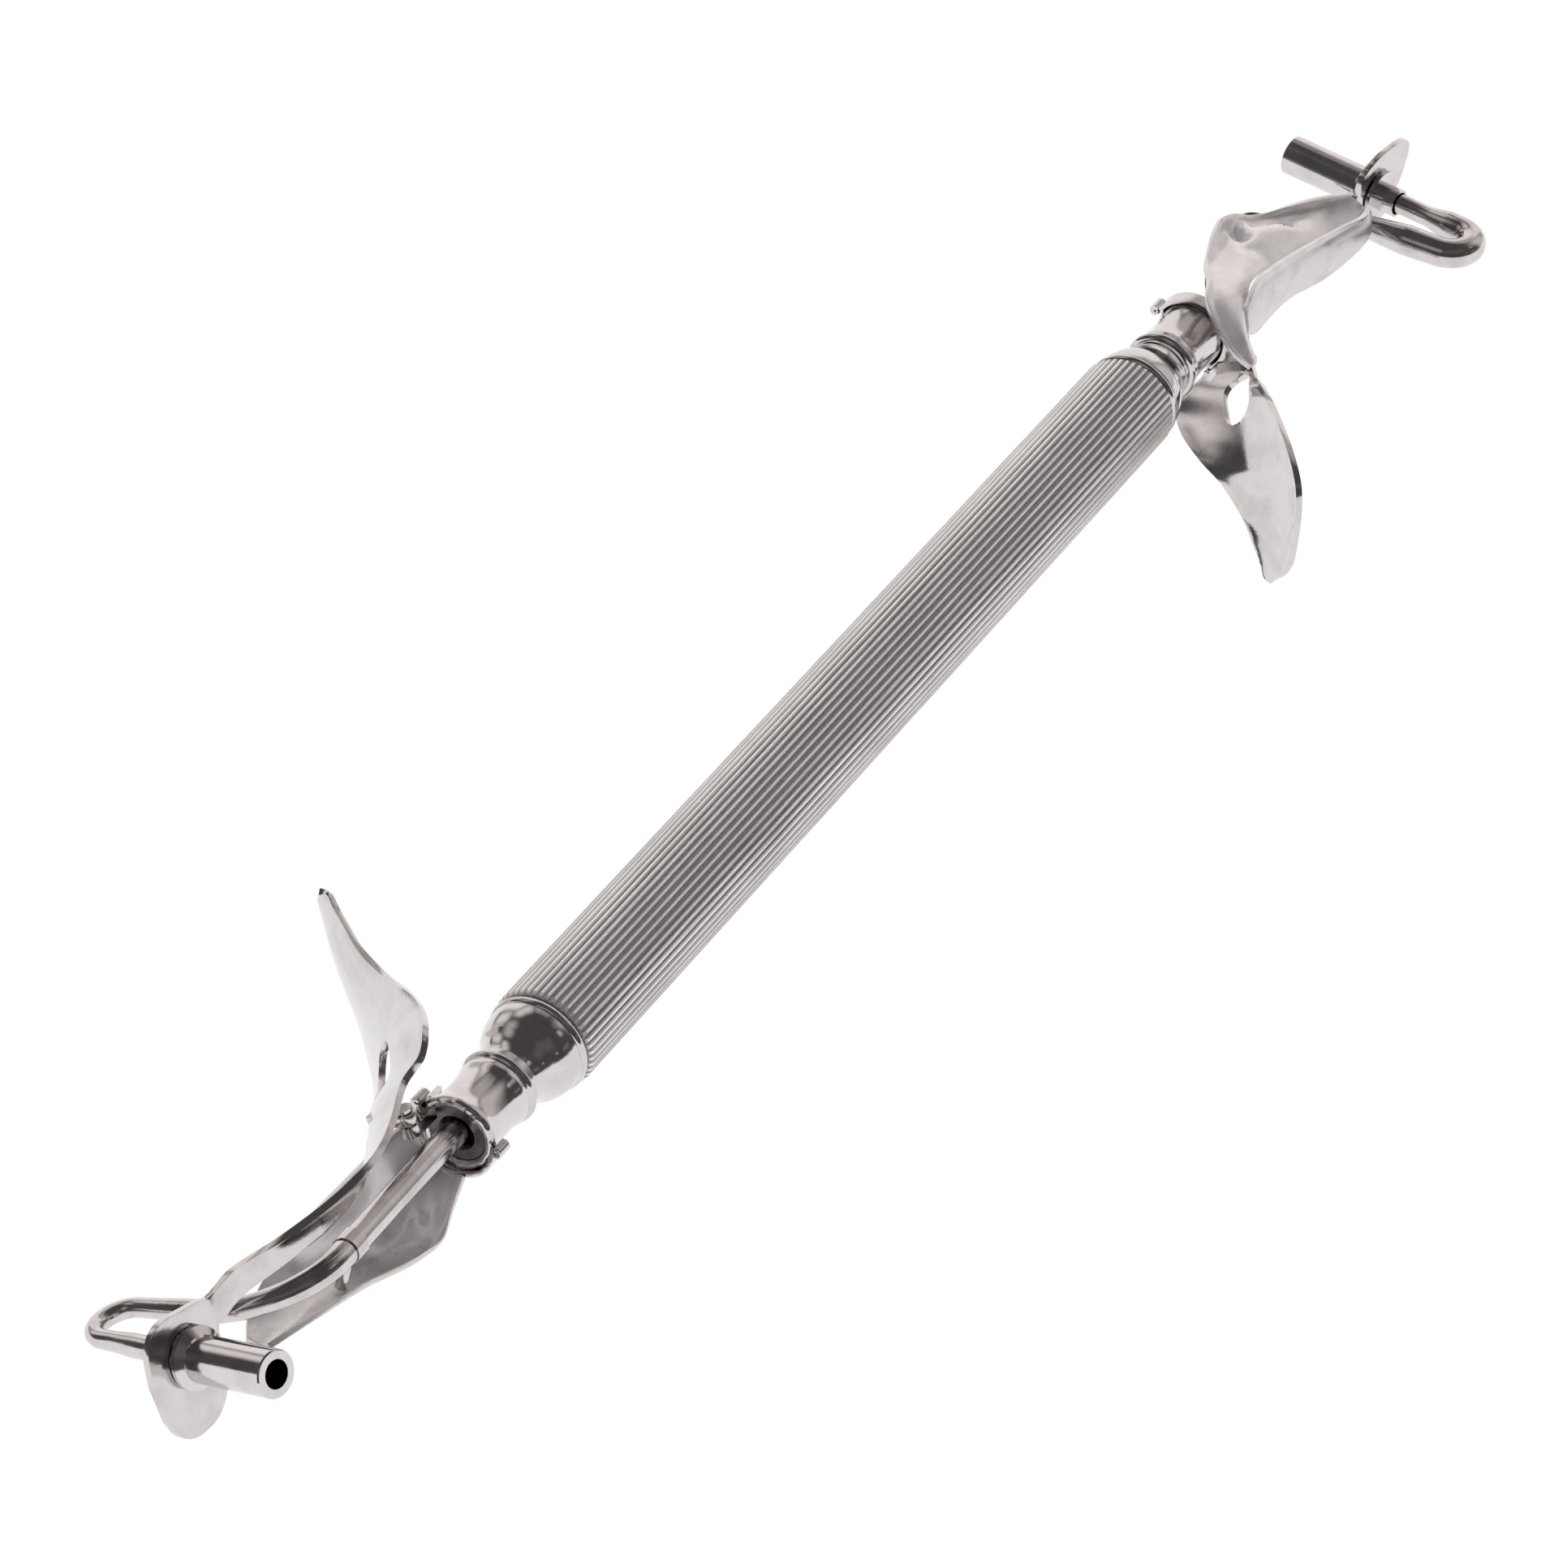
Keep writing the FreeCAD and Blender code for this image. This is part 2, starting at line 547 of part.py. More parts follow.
def makeEnd(side, letter):
    frame = endFrame(side)
    hookPlace = frame.multiply(hookFrame(side))
    press = size("pressFit")

    # Trumpet cap with its plug, bead, shoulder and neck.
    turned("cap_" + letter, frame, [
        (size("plugAt"), size("tieRadius") + press),
        (size("plugAt"), size("gripBore") - size("plugFit")),
        (size("beadAt"), size("gripBore") - size("plugFit")),
        (size("beadAt"), size("beadRadius") - size("beadSink")),
        (size("beadAt") + size("beadWidth"), size("beadRadius") - size("beadSink")),
        (size("shoulderAt"), size("shoulderRadius")),
        (size("waistAt"), size("waistRadius")),
        (size("neckAt"), size("neckRadius")),
        (size("capEndAt"), size("neckRadius")),
        (size("capEndAt"), size("tieRadius") + press),
    ], {3: (size("beadCurve"), 1), 5: (size("shoulderCurve"), 1), 6: (size("waistCurve"), -1)})

    # Thin ring between cap and collar.
    turned("neck_ring_" + letter, frame, [
        (size("capEndAt") + press, size("tieRadius") + press),
        (size("capEndAt") + press, size("ringRadius")),
        (size("capEndAt") + press + size("ringWidth"), size("ringRadius")),
        (size("capEndAt") + press + size("ringWidth"), size("tieRadius") + press),
    ])

    # Collar: flange, barrel, front rim, web with the bush's seat.
    collar = turned("collar_" + letter, frame, [
        (size("collarAt"), size("bushRadius")),
        (size("collarAt"), size("flangeRadius")),
        (size("collarAt") + size("flangeWidth"), size("flangeRadius")),
        (size("collarAt") + size("flangeWidth") + size("flangeSlope"), size("collarRadius")),
        (size("rimAt"), size("collarRadius")),
        (size("rimAt") + size("rimEase"), size("rimRadius")),
        (size("collarEndAt") - size("rimEase"), size("rimRadius")),
        (size("collarEndAt"), size("rimRadius") - size("rimEase")),
        (size("collarEndAt"), size("boreRadius")),
        (size("webEndAt"), size("boreRadius")),
        (size("webEndAt"), size("bushRadius")),
    ])
    lockAcross, lockDown = polar((num("boreRadius") + num("rimRadius")) / 2, num("lockAngle"))
    lockPlace = along(num("collarEndAt") - num("lockDepth"), lockAcross, side * lockDown, V(1, 0, 0))
    drill = collar.newObject("PartDesign::SubtractiveCylinder", "collar_%s_drilled" % letter)
    drill.setExpression("Radius", "Sizes.lockRadius + Sizes.lockFit")
    drill.setExpression("Height", "Sizes.lockDepth * 2")
    drill.Placement = lockPlace
    collar.Tip = drill

    turned("swivel_bush_" + letter, frame, [
        (size("collarAt"), size("tieRadius") + size("runFit")),
        (size("collarAt"), size("bushRadius") - press),
        (size("webEndAt") + size("bushProud"), size("bushRadius") - press),
        (size("webEndAt") + size("bushProud"), size("tieRadius") + size("runFit")),
    ])

    # Six-sided nut on the end of the tie rod.
    nutPlace = frame.multiply(along(0, 0, 0, V(1, 0, 0)))
    nut = bound("Prism", "nut_%s_blank" % letter, level, Polygon=6,
                Circumradius=size("nutAcross") * (1 / math.sqrt(3)), Height=size("nutWidth"))
    nutBore = bound("Cylinder", "nut_%s_bore" % letter, level, Radius=size("tieRadius") + press,
                    Height=size("nutWidth"))
    nut.Placement = FreeCAD.Placement(V(0, 0, num("nutAt")), FreeCAD.Rotation())
    nutBore.Placement = nut.Placement
    joinedUp("Cut", "tie_nut_" + letter, nutPlace, [nut, nutBore])

    # Liner: a seat that grips the rod and a wider mouth.
    turned("liner_" + letter, frame, [
        (size("linerAt"), size("wireRadius") + size("seatFit")),
        (size("linerAt"), size("boreRadius") - press),
        (size("linerEndAt"), size("boreRadius") - press),
        (size("linerEndAt"), size("linerMouth") + size("mouthFlare")),
        (size("linerEndAt") - size("mouthDepth"), size("linerMouth")),
        (size("linerSeatAt"), size("linerMouth")),
        (size("linerSeatAt"), size("wireRadius") + size("seatFit")),
    ])

    lock = bound("Cylinder", "lock_pin_" + letter, level, Radius=size("lockRadius"),
                 Height=size("lockDepth") + size("lockHead"))
    keep("lock_pin_" + letter, lock, frame.multiply(lockPlace))

    # Hook wire: rod, slight kink, quarter bend, tapering run, eye and free leg, all in one plane.
    wire = size("wireRadius")
    leg = size("legRadius")
    heading = hook["heading"]
    bendTurn = 90 + num("kinkAngle")
    eyeRest = 180 - num("eyeTurn")
    pieces = [
        bound("Cylinder", "rod_" + letter, along(0, 0, 0, V(1, 0, 0)), Radius=wire, Height=size("rodLength")),
        bound("Torus", "kink_" + letter, spun(num("rodLength"), -num("kinkRadius"), 0, 90 - num("kinkAngle")),
              Radius1=size("kinkRadius"), Radius2=wire, Angle3=num("kinkAngle")),
        bound("Cylinder", "run_" + letter, along(*hook["kinkEnd"], heading), Radius=wire,
              Height=hook["straight"]),
        bound("Torus", "bend_" + letter, spun(*hook["bendCentre"], -bendTurn), Radius1=size("bendRadius"),
              Radius2=wire, Angle3=bendTurn),
        bound("Cone", "cross_" + letter, along(*hook["crossStart"], V(0, 1, 0)), Radius1=wire, Radius2=leg,
              Height=size("crossRun")),
        bound("Torus", "eye_" + letter, spun(*hook["eyeCentre"], eyeRest), Radius1=size("eyeRadius"),
              Radius2=leg, Angle3=num("eyeTurn")),
        bound("Cylinder", "leg_" + letter, along(*hook["legStart"], hook["legHeading"]), Radius=leg,
              Height=size("legLength")),
    ]
    joinedUp("MultiFuse", "hook_wire_" + letter, hookPlace, pieces)

    shaped("back_plate_" + letter, frame, backPlate(side))
    shaped("bracket_" + letter, frame, bracket(side))
    shaped("hinge_pin_" + letter, frame, hingePin(side))
    shaped("leaf_spring_" + letter, frame, leafSpring(side))
    shaped("stay_" + letter, frame, stay(side))
    shaped("lever_" + letter, frame, lever(side))

    # Sleeve, with its boss and the spigot through the tip plate, turned about the free leg.
    normal = hook["legHeading"]
    sleeveFrame = columns(normal, V(0, 0, 1).cross(normal), V(0, 0, 1))
    sleeveFrame.Base = carriedPoint()
    sleevePlace = hookPlace.multiply(sleeveFrame)
    half = size("sheet") * 0.5 + size("sideGap")
    turned("sleeve_" + letter, sleevePlace, [
        (half * -1, size("sleeveBore")),
        (half * -1, size("spigotRadius")),
        (half, size("spigotRadius")),
        (half, size("bossRadius") - size("bossEase")),
        (half + size("bossEase"), size("bossRadius")),
        (half + size("bossWidth") - size("bossSlope"), size("bossRadius")),
        (half + size("bossWidth"), size("sleeveRadius")),
        (half + size("sleeveLength") - size("sleeveEase"), size("sleeveRadius")),
        (half + size("sleeveLength"), size("sleeveRadius") - size("sleeveEase")),
        (half + size("sleeveLength"), size("sleeveBore")),
    ])
    turned("ferrule_" + letter, sleevePlace, [
        (half * -1 - size("ferruleLength"), size("legRadius") + size("legFit")),
        (half * -1 - size("ferruleLength"), size("ferruleRadius")),
        (half * -1 - size("ferruleFlangeWidth"), size("ferruleRadius")),
        (half * -1 - size("ferruleFlangeWidth"), size("ferruleFlange")),
        (half * -1 - press, size("ferruleFlange")),
        (half * -1 - press, size("legRadius") + size("legFit")),
    ])


makeEnd(1, "a")
makeEnd(-1, "b")
doc.recompute()

for item in doc.Objects:
    if "Invalid" in item.State or "Error" in item.State:
        raise RuntimeError("%s is in state %s" % (item.Label, item.State))
for feature in nodes:
    shape = feature.Shape
    if shape.isNull() or not shape.isValid() or not shape.Solids:
        raise RuntimeError("%s has no sound shape" % feature.Label)
    print("%-16s solids %d volume %9.2f" % (feature.Label, len(shape.Solids), shape.Volume))
    shape.exportStep("parts/%s.step" % feature.Label)
print(len(nodes), "nodes")
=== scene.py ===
# Looks for the hooked hand bar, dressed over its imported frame. Metres, same frame as the solids.
import math
import bmesh
import bpy
from mathutils import Matrix, Vector


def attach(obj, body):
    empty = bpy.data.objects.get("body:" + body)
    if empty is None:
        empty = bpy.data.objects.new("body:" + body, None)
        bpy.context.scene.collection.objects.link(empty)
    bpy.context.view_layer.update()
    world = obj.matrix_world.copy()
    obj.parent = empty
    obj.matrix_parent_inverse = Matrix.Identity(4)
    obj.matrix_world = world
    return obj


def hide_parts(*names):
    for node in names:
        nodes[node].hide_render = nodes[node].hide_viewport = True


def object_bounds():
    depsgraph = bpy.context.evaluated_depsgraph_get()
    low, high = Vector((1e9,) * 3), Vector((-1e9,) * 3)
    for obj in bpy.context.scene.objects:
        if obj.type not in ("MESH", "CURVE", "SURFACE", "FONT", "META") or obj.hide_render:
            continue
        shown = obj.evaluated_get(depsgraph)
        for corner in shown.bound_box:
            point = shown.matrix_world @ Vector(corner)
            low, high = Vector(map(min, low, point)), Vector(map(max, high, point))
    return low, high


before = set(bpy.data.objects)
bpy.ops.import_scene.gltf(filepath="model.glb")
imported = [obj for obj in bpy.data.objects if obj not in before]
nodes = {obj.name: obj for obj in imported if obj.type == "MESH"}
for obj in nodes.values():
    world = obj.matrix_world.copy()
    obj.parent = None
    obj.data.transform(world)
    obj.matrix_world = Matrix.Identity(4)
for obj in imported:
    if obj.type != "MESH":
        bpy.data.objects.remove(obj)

mm = 0.001
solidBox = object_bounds()
print("frame loaded:", len(nodes), "nodes")

# The two ends stand at different turns about the bar, in degrees. Side 1 points to -X, side -1 to +X.
ends = {"a": {"side": 1, "roll": -20.0}, "b": {"side": -1, "roll": 183.7}}


def endMatrix(letter):
    side = ends[letter]["side"]
    roll = math.radians(ends[letter]["roll"])
    out = Vector((-side, 0, 0))
    across = Vector((0, math.cos(roll), math.sin(roll)))
    down = out.cross(across)
    return Matrix((out, across, down)).transposed()


# Tables give places at an end as (along, across, down) in mm. End B mirrors end A, so the last value changes
# its sign there.
def spotAt(letter, spot):
    along, across, down = spot
    return Vector((along, across, ends[letter]["side"] * down))


# Shader nodes
def nodeTree(name):
    material = bpy.data.materials.new(name)
    material.use_nodes = True
    tree = material.node_tree
    shader = tree.nodes["Principled BSDF"]
    return material, tree, shader


def addNode(tree, kind, **settings):
    node = tree.nodes.new(kind)
    for key, value in settings.items():
        setattr(node, key, value)
    return node


def noiseOn(tree, source, scale, detail=3.0, roughness=0.55, stretch=(1, 1, 1)):
    mapping = addNode(tree, "ShaderNodeMapping")
    mapping.inputs["Scale"].default_value = stretch
    noise = addNode(tree, "ShaderNodeTexNoise")
    noise.inputs["Scale"].default_value = scale
    noise.inputs["Detail"].default_value = detail
    noise.inputs["Roughness"].default_value = roughness
    tree.links.new(source, mapping.inputs["Vector"])
    tree.links.new(mapping.outputs["Vector"], noise.inputs["Vector"])
    return noise.outputs["Fac"]


def ramp(tree, source, stops):
    node = addNode(tree, "ShaderNodeValToRGB")
    band = node.color_ramp
    while len(band.elements) < len(stops):
        band.elements.new(0.5)
    for element, (place, colour) in zip(band.elements, stops):
        element.position = place
        element.color = (*colour, 1.0)
    tree.links.new(source, node.inputs["Fac"])
    return node.outputs["Color"]


def spread(tree, source, low, high, fromLow=0.3, fromHigh=0.7):
    node = addNode(tree, "ShaderNodeMapRange")
    node.inputs["From Min"].default_value = fromLow
    node.inputs["From Max"].default_value = fromHigh
    node.inputs["To Min"].default_value = low
    node.inputs["To Max"].default_value = high
    tree.links.new(source, node.inputs["Value"])
    return node.outputs["Result"]


def bumped(tree, source, strength, distance, under=None):
    node = addNode(tree, "ShaderNodeBump")
    node.inputs["Strength"].default_value = strength
    node.inputs["Distance"].default_value = distance
    tree.links.new(source, node.inputs["Height"])
    if under is not None:
        tree.links.new(under, node.inputs["Normal"])
    return node.outputs["Normal"]


def mixed(tree, share, first, second):
    node = addNode(tree, "ShaderNodeMix", data_type="RGBA", blend_type="MIX")
    tree.links.new(share, node.inputs[0])
    tree.links.new(first, node.inputs[6])
    tree.links.new(second, node.inputs[7])
    return node.outputs[2]


# All metals but the grip's are clouded in tint and roughness, with hairlines, dents and pitting as bumps.
# Noise scales are per metre, bump heights in metres.
metalMarks = {"cloud": 260.0, "hairline": 900.0, "dent": 420.0, "pitting": 2400.0,
              "hairlineHeight": 0.00004, "dentHeight": 0.00006, "pittingHeight": 0.00002, "pittingShare": 0.5,
              "darkAt": 0.30, "lightAt": 0.55, "middleAt": 0.80}


def metal(name, light, dark, gloss, hairline, dents, grain=(1, 1, 1), bare=1.0):
    material, tree, shader = nodeTree(name)
    place = addNode(tree, "ShaderNodeTexCoord").outputs["Object"]
    cloud = noiseOn(tree, place, metalMarks["cloud"], detail=4.0)
    pitting = noiseOn(tree, place, metalMarks["pitting"], detail=2.0)
    middle = tuple(0.5 * (a + b) for a, b in zip(light, dark))
    tint = ramp(tree, cloud, [(metalMarks["darkAt"], dark), (metalMarks["lightAt"], light),
                              (metalMarks["middleAt"], middle)])
    tree.links.new(tint, shader.inputs["Base Color"])
    tree.links.new(spread(tree, cloud, *gloss), shader.inputs["Roughness"])
    shader.inputs["Metallic"].default_value = bare
    scratches = noiseOn(tree, place, metalMarks["hairline"], detail=2.0, roughness=0.5, stretch=grain)
    normal = bumped(tree, scratches, hairline, metalMarks["hairlineHeight"])
    hollows = noiseOn(tree, place, metalMarks["dent"], detail=2.0)
    normal = bumped(tree, hollows, dents, metalMarks["dentHeight"], normal)
    pittingStrength = hairline * metalMarks["pittingShare"]
    normal = bumped(tree, pitting, pittingStrength, metalMarks["pittingHeight"], normal)
    tree.links.new(normal, shader.inputs["Normal"])
    return material


# "grain" stretches the hairline noise, "bare" is how metallic the surface is.
finishes = {
    "polished": {"light": (0.70, 0.67, 0.668), "dark": (0.60, 0.57, 0.565), "gloss": (0.08, 0.15),
                 "hairline": 0.07, "dents": 0.05, "grain": (1.0, 6.0, 6.0)},
    "wire": {"light": (0.68, 0.65, 0.645), "dark": (0.52, 0.49, 0.48), "gloss": (0.09, 0.20),
             "hairline": 0.14, "dents": 0.10, "grain": (5.0, 5.0, 1.0)},
    "sheet": {"light": (0.69, 0.66, 0.655), "dark": (0.57, 0.54, 0.53), "gloss": (0.09, 0.19),
              "hairline": 0.14, "dents": 0.16, "grain": (1.0, 5.0, 5.0)},
    "hammered": {"light": (0.80, 0.765, 0.76), "dark": (0.64, 0.61, 0.60), "gloss": (0.22, 0.38),
                 "hairline": 0.20, "dents": 0.32, "grain": (1.0, 4.0, 4.0), "bare": 0.6},
    "inner": {"light": (0.30, 0.285, 0.28), "dark": (0.17, 0.16, 0.155), "gloss": (0.26, 0.42),
              "hairline": 0.30, "dents": 0.25, "grain": (1.0, 4.0, 4.0)},
}
polished = metal("polishedSteel", **finishes["polished"])
wireMetal = metal("wireSteel", **finishes["wire"])
sheetMetal = metal("pressedSheet", **finishes["sheet"])
innerMetal = metal("darkSteel", **finishes["inner"])
plateMetal = metal("hammeredSheet", **finishes["hammered"])

# The grip's ribs: bright crests over dull valleys, with a painted highlight on the crests and painted shade
# in the valleys, told apart by their distance from the bar's axis, with streaks along the bar and small
# nicks. Bumps are (strength, height in metres).
ribbing = {"crest": 5.90 * mm, "valley": 5.60 * mm, "crestRough": 0.36, "valleyRough": 0.50,
           "roughFrom": 0.2, "roughTo": 0.9, "bare": 0.8,
           # The crest colour is a painted highlight. The valley colour is painted shade, mottled darker by
           # the nicks.
           "bright": (0.96, 0.935, 0.93), "clouded": 0.86, "brightStops": (0.25, 0.6),
           "valleyShade": (0.40, 0.38, 0.375), "valleyShadeMottle": 0.6, "valleyShadeStops": (0.3, 0.7),
           "cloudScale": 300.0, "cloudStretch": (0.35, 1, 1), "fineScale": 2600.0,
           "streakStretch": (0.03, 1, 1),
           "streakBump": (0.8, 0.00012), "nickBump": (0.25, 0.00003), "cloudBump": (0.2, 0.00008)}


def twoTone(tree, source, stops, colour, share):
    return ramp(tree, source, [(stops[0], tuple(share * c for c in colour)), (stops[1], colour)])


def ribbedMetal():
    material, tree, shader = nodeTree("ribbedSteel")
    place = addNode(tree, "ShaderNodeTexCoord").outputs["Object"]
    parts = addNode(tree, "ShaderNodeSeparateXYZ")
    tree.links.new(place, parts.inputs[0])
    flat = addNode(tree, "ShaderNodeCombineXYZ")
    tree.links.new(parts.outputs["Y"], flat.inputs["Y"])
    tree.links.new(parts.outputs["Z"], flat.inputs["Z"])
    length = addNode(tree, "ShaderNodeVectorMath", operation="LENGTH")
    tree.links.new(flat.outputs[0], length.inputs[0])
    height = spread(tree, length.outputs["Value"], 0.0, 1.0, ribbing["valley"], ribbing["crest"])
    cloud = noiseOn(tree, place, ribbing["cloudScale"], 4.0, 0.6, ribbing["cloudStretch"])
    nicks = noiseOn(tree, place, ribbing["fineScale"], 3.0, 0.7)
    # Painted highlight on the crests and painted shade in the valleys, mixed by distance from the bar's axis.
    bright = twoTone(tree, cloud, ribbing["brightStops"], ribbing["bright"], ribbing["clouded"])
    shadedValley = twoTone(tree, nicks, ribbing["valleyShadeStops"], ribbing["valleyShade"], ribbing["valleyShadeMottle"])
    tree.links.new(mixed(tree, height, shadedValley, bright), shader.inputs["Base Color"])
    rough = spread(tree, height, ribbing["valleyRough"], ribbing["crestRough"],
                   ribbing["roughFrom"], ribbing["roughTo"])
    tree.links.new(rough, shader.inputs["Roughness"])
    shader.inputs["Metallic"].default_value = ribbing["bare"]
    streaks = noiseOn(tree, place, ribbing["fineScale"], 2.0, 0.5, ribbing["streakStretch"])
    normal = bumped(tree, streaks, *ribbing["streakBump"])
    normal = bumped(tree, nicks, *ribbing["nickBump"], normal)
    normal = bumped(tree, cloud, *ribbing["cloudBump"], normal)
    tree.links.new(normal, shader.inputs["Normal"])
    return material


ribbed = ribbedMetal()

# Every CAD node gets a finish by the start of its name, or else polished steel. Pieces drawn as copies of a
# node keep its finish.
finishByNode = {"grip_tube": ribbed, "tie_rod": innerMetal, "tie_nut_": innerMetal,
                "swivel_bush_": innerMetal, "liner_": innerMetal, "lock_pin_": wireMetal,
                "leaf_spring_": wireMetal, "hook_wire_": wireMetal, "hinge_pin_": wireMetal,
                "stay_": wireMetal, "back_plate_": sheetMetal, "bracket_": sheetMetal, "lever_": sheetMetal}
for name, node in nodes.items():
    finish = polished
    for start, material in finishByNode.items():
        if name.startswith(start):
            finish = material
    node.data.materials.clear()
    node.data.materials.append(finish)
print("finishes on the frame's own pieces")

# Edges that turn sharply get a small round, and the shallower ones are shaded smooth. Degrees.
edgeStyle = {"roundFrom": 50, "smoothBelow": 40, "segments": 2}


def solidPiece(name, points, faces, material):
    mesh = bpy.data.meshes.new(name)
    mesh.from_pydata([tuple(point) for point in points], [], faces)
    mesh.validate()
    piece = bpy.data.objects.new(name, mesh)
    bpy.context.collection.objects.link(piece)
    mesh.materials.append(material)
    return piece


def drawnCopy(nodeName, name):
    mesh = nodes[nodeName].data.copy()
    mesh.name = name
    piece = bpy.data.objects.new(name, mesh)
    bpy.context.collection.objects.link(piece)
    return piece


def gridFaces(rows, columns):
    faces = []
    for row in range(rows):
        for column in range(columns):
            at = row * (columns + 1) + column
            faces.append([at, at + 1, at + columns + 2, at + columns + 1])
    return faces


def settle(piece):
    graph = bpy.context.evaluated_depsgraph_get()
    made = bpy.data.meshes.new_from_object(piece.evaluated_get(graph))
    piece.modifiers.clear()
    piece.data = made


def smoothed(piece, degrees=edgeStyle["smoothBelow"]):
    piece.data.shade_smooth()
    piece.data.set_sharp_from_angle(angle=math.radians(degrees))


def thickened(piece, thick, even=True):
    solid = piece.modifiers.new("thickness", "SOLIDIFY")
    solid.thickness = thick * mm
    solid.offset = 0
    solid.use_even_offset = even
    settle(piece)


def rounded(piece, width, segments=edgeStyle["segments"]):
    edge = piece.modifiers.new("edge", "BEVEL")
    edge.width = width * mm
    edge.segments = segments
    edge.limit_method = "ANGLE"
    edge.angle_limit = math.radians(edgeStyle["roundFrom"])
    settle(piece)
    smoothed(piece)


def prism(name, outline, low, high, place):
    points = [place @ Vector((x, y, z)) for z in (low, high) for x, y in outline]
    count = len(outline)
    faces = [list(range(count))[::-1], list(range(count, 2 * count))]
    for index in range(count):
        after = (index + 1) % count
        faces.append([index, after, after + count, index + count])
    return solidPiece(name, points, faces, sheetMetal)


def cutBy(piece, tool):
    cut = piece.modifiers.new("cut", "BOOLEAN")
    cut.operation = "DIFFERENCE"
    cut.solver = "EXACT"
    cut.object = tool
    settle(piece)
    bpy.data.objects.remove(tool)


# A place in an end's own mm, with its three axes, as a matrix for points of a prism.
def placeAt(letter, axes, at):
    place = Matrix(axes).transposed().to_4x4()
    place.translation = spotAt(letter, at)
    return Matrix.Scale(mm, 4) @ endMatrix(letter).to_4x4() @ place


def arc(radius, start, end, step):
    turns = [math.radians(turn) for turn in range(start, end, step)]
    return [(radius * math.cos(turn), radius * math.sin(turn)) for turn in turns]


def waves(at, parts):
    return sum(height * math.sin(rate * at + start) for rate, height, start in parts)


# A smooth curve through the points, at a share of its run from 0 to 1.
def between(points, share):
    spans = len(points) - 1
    at = min(int(share * spans), spans - 1)
    t = share * spans - at
    p1, p2 = points[at], points[at + 1]
    p0 = points[at - 1] if at > 0 else p1 * 2 - p2
    p3 = points[at + 2] if at + 2 <= spans else p2 * 2 - p1
    return 0.5 * (2 * p1 + (p2 - p0) * t + (2 * p0 - 5 * p1 + 4 * p2 - p3) * t * t
                  + (3 * p1 - p0 - 3 * p2 + p3) * t * t * t)


# Stations of the pressed lever, from the wing's tip to the tip plate: its free edge, its bar-side edge and
# how far the sheet is dished between them.
wing = [
    ((69.0, 19.9, -19.2), (68.5, 19.0, -18.9), 0.0),
    ((67.6, 21.5, -17.0), (69.3, 18.2, -17.6), 0.2),
    ((66.6, 22.8, -13.8), (70.9, 16.2, -16.2), 0.6),
    ((66.7, 23.0, -10.2), (72.9, 13.6, -14.6), 1.0),
    ((67.1, 22.8, -6.6), (74.6, 9.9, -12.6), 1.5),
    ((68.2, 21.8, -3.4), (76.5, 6.0, -12.1), 1.8),
    ((72.0, 18.6, -1.9), (79.6, 2.2, -12.2), 1.6),
    ((77.2, 14.2, -1.6), (83.0, -0.4, -12.1), 1.2),
    ((82.0, 10.4, -2.5), (85.4, -0.8, -10.4), 0.8),
    ((86.2, 7.4, -4.0), (88.0, 0.4, -8.8), 0.4),
]
arms = {
    "a": [
        ((93.7, 2.7, -4.6), (94.4, -2.0, -8.1), 0.3),
        ((100.2, -0.6, -4.9), (100.6, -4.0, -8.4), 0.3),
        ((106.5, -0.9, -4.6), (106.5, -2.9, -7.8), 0.3),
        ((112.5, 0.5, -4.4), (112.5, -0.2, -7.2), 0.2),
        ((118.0, 2.1, -4.4), (118.0, 2.0, -7.4), 0.0),
        ((120.4, 3.0, -3.6), (120.4, 2.9, -6.7), 0.0),
    ],
    "b": [
        ((93.7, 2.6, -4.6), (94.6, -1.6, -8.3), 0.4),
        ((98.8, 0.0, -4.0), (100.2, -5.2, -8.4), 0.6),
        ((103.8, -2.0, -4.1), (105.2, -8.2, -6.9), 0.9),
        ((107.8, -2.3, -5.2), (110.0, -9.4, -4.2), 1.0),
        ((111.6, -1.2, -6.1), (114.0, -7.4, -3.0), 0.8),
        ((115.4, 0.2, -6.2), (116.8, -3.8, -4.3), 0.3),
        ((118.6, 2.1, -5.8), (119.2, 0.7, -4.1), 0.1),
        ((120.4, 3.0, -5.3), (120.6, 2.8, -1.6), 0.0),
    ],
}
# The tip plate's rows are places along it with its upper and lower edge. It leans by some degrees.
tab = {"middle": (125.957, 4.218, -2.356), "lean": 6.75, "hole": 2.65, "holeReach": 2,
       "a": [(-4.4, -6.2, -2.6), (-3.6, -6.6, 0.6), (-2.4, -6.9, 3.4), (-0.6, -7.3, 4.9), (1.4, -7.7, 5.3),
             (3.4, -7.3, 5.0), (4.9, -5.6, 3.8), (5.7, -2.6, 1.6)],
       "b": [(-4.4, -5.5, 1.2), (-3.4, -5.7, 2.2), (-2.0, -5.7, 2.8), (0.0, -5.7, 3.2), (2.2, -5.5, 3.2),
             (4.2, -4.6, 3.1), (5.8, -2.0, 2.6), (6.6, 0.0, 1.6)]}
leverSheet = {"thick": 0.75, "rowsPerSpan": 8, "columns": 14, "edge": 0.30, "edgeSegments": 4}
sheetCuts = {
    "window": {"at": (82.3, 7.0, -5.6), "long": (0.9, -0.42, 0.07), "wide": (0, 0.75, 0.65),
               "size": (7.4, 4.2), "reach": 6, "levers": "ab"},
    "slot": {"at": (113.4, -3.3, -4.4), "long": (8.0, 3.5, 0.6), "wide": (2.4, -6.3, 3.1),
             "size": (7.6, 2.8), "reach": 2.5, "levers": "b"},
}
lug = {"pivot": (87.3, 2.4), "radius": 1.3, "reach": 4.2, "near": 3.7, "far": 4.9, "edge": 0.12,
       "hole": 0.62, "holeReach": 8}


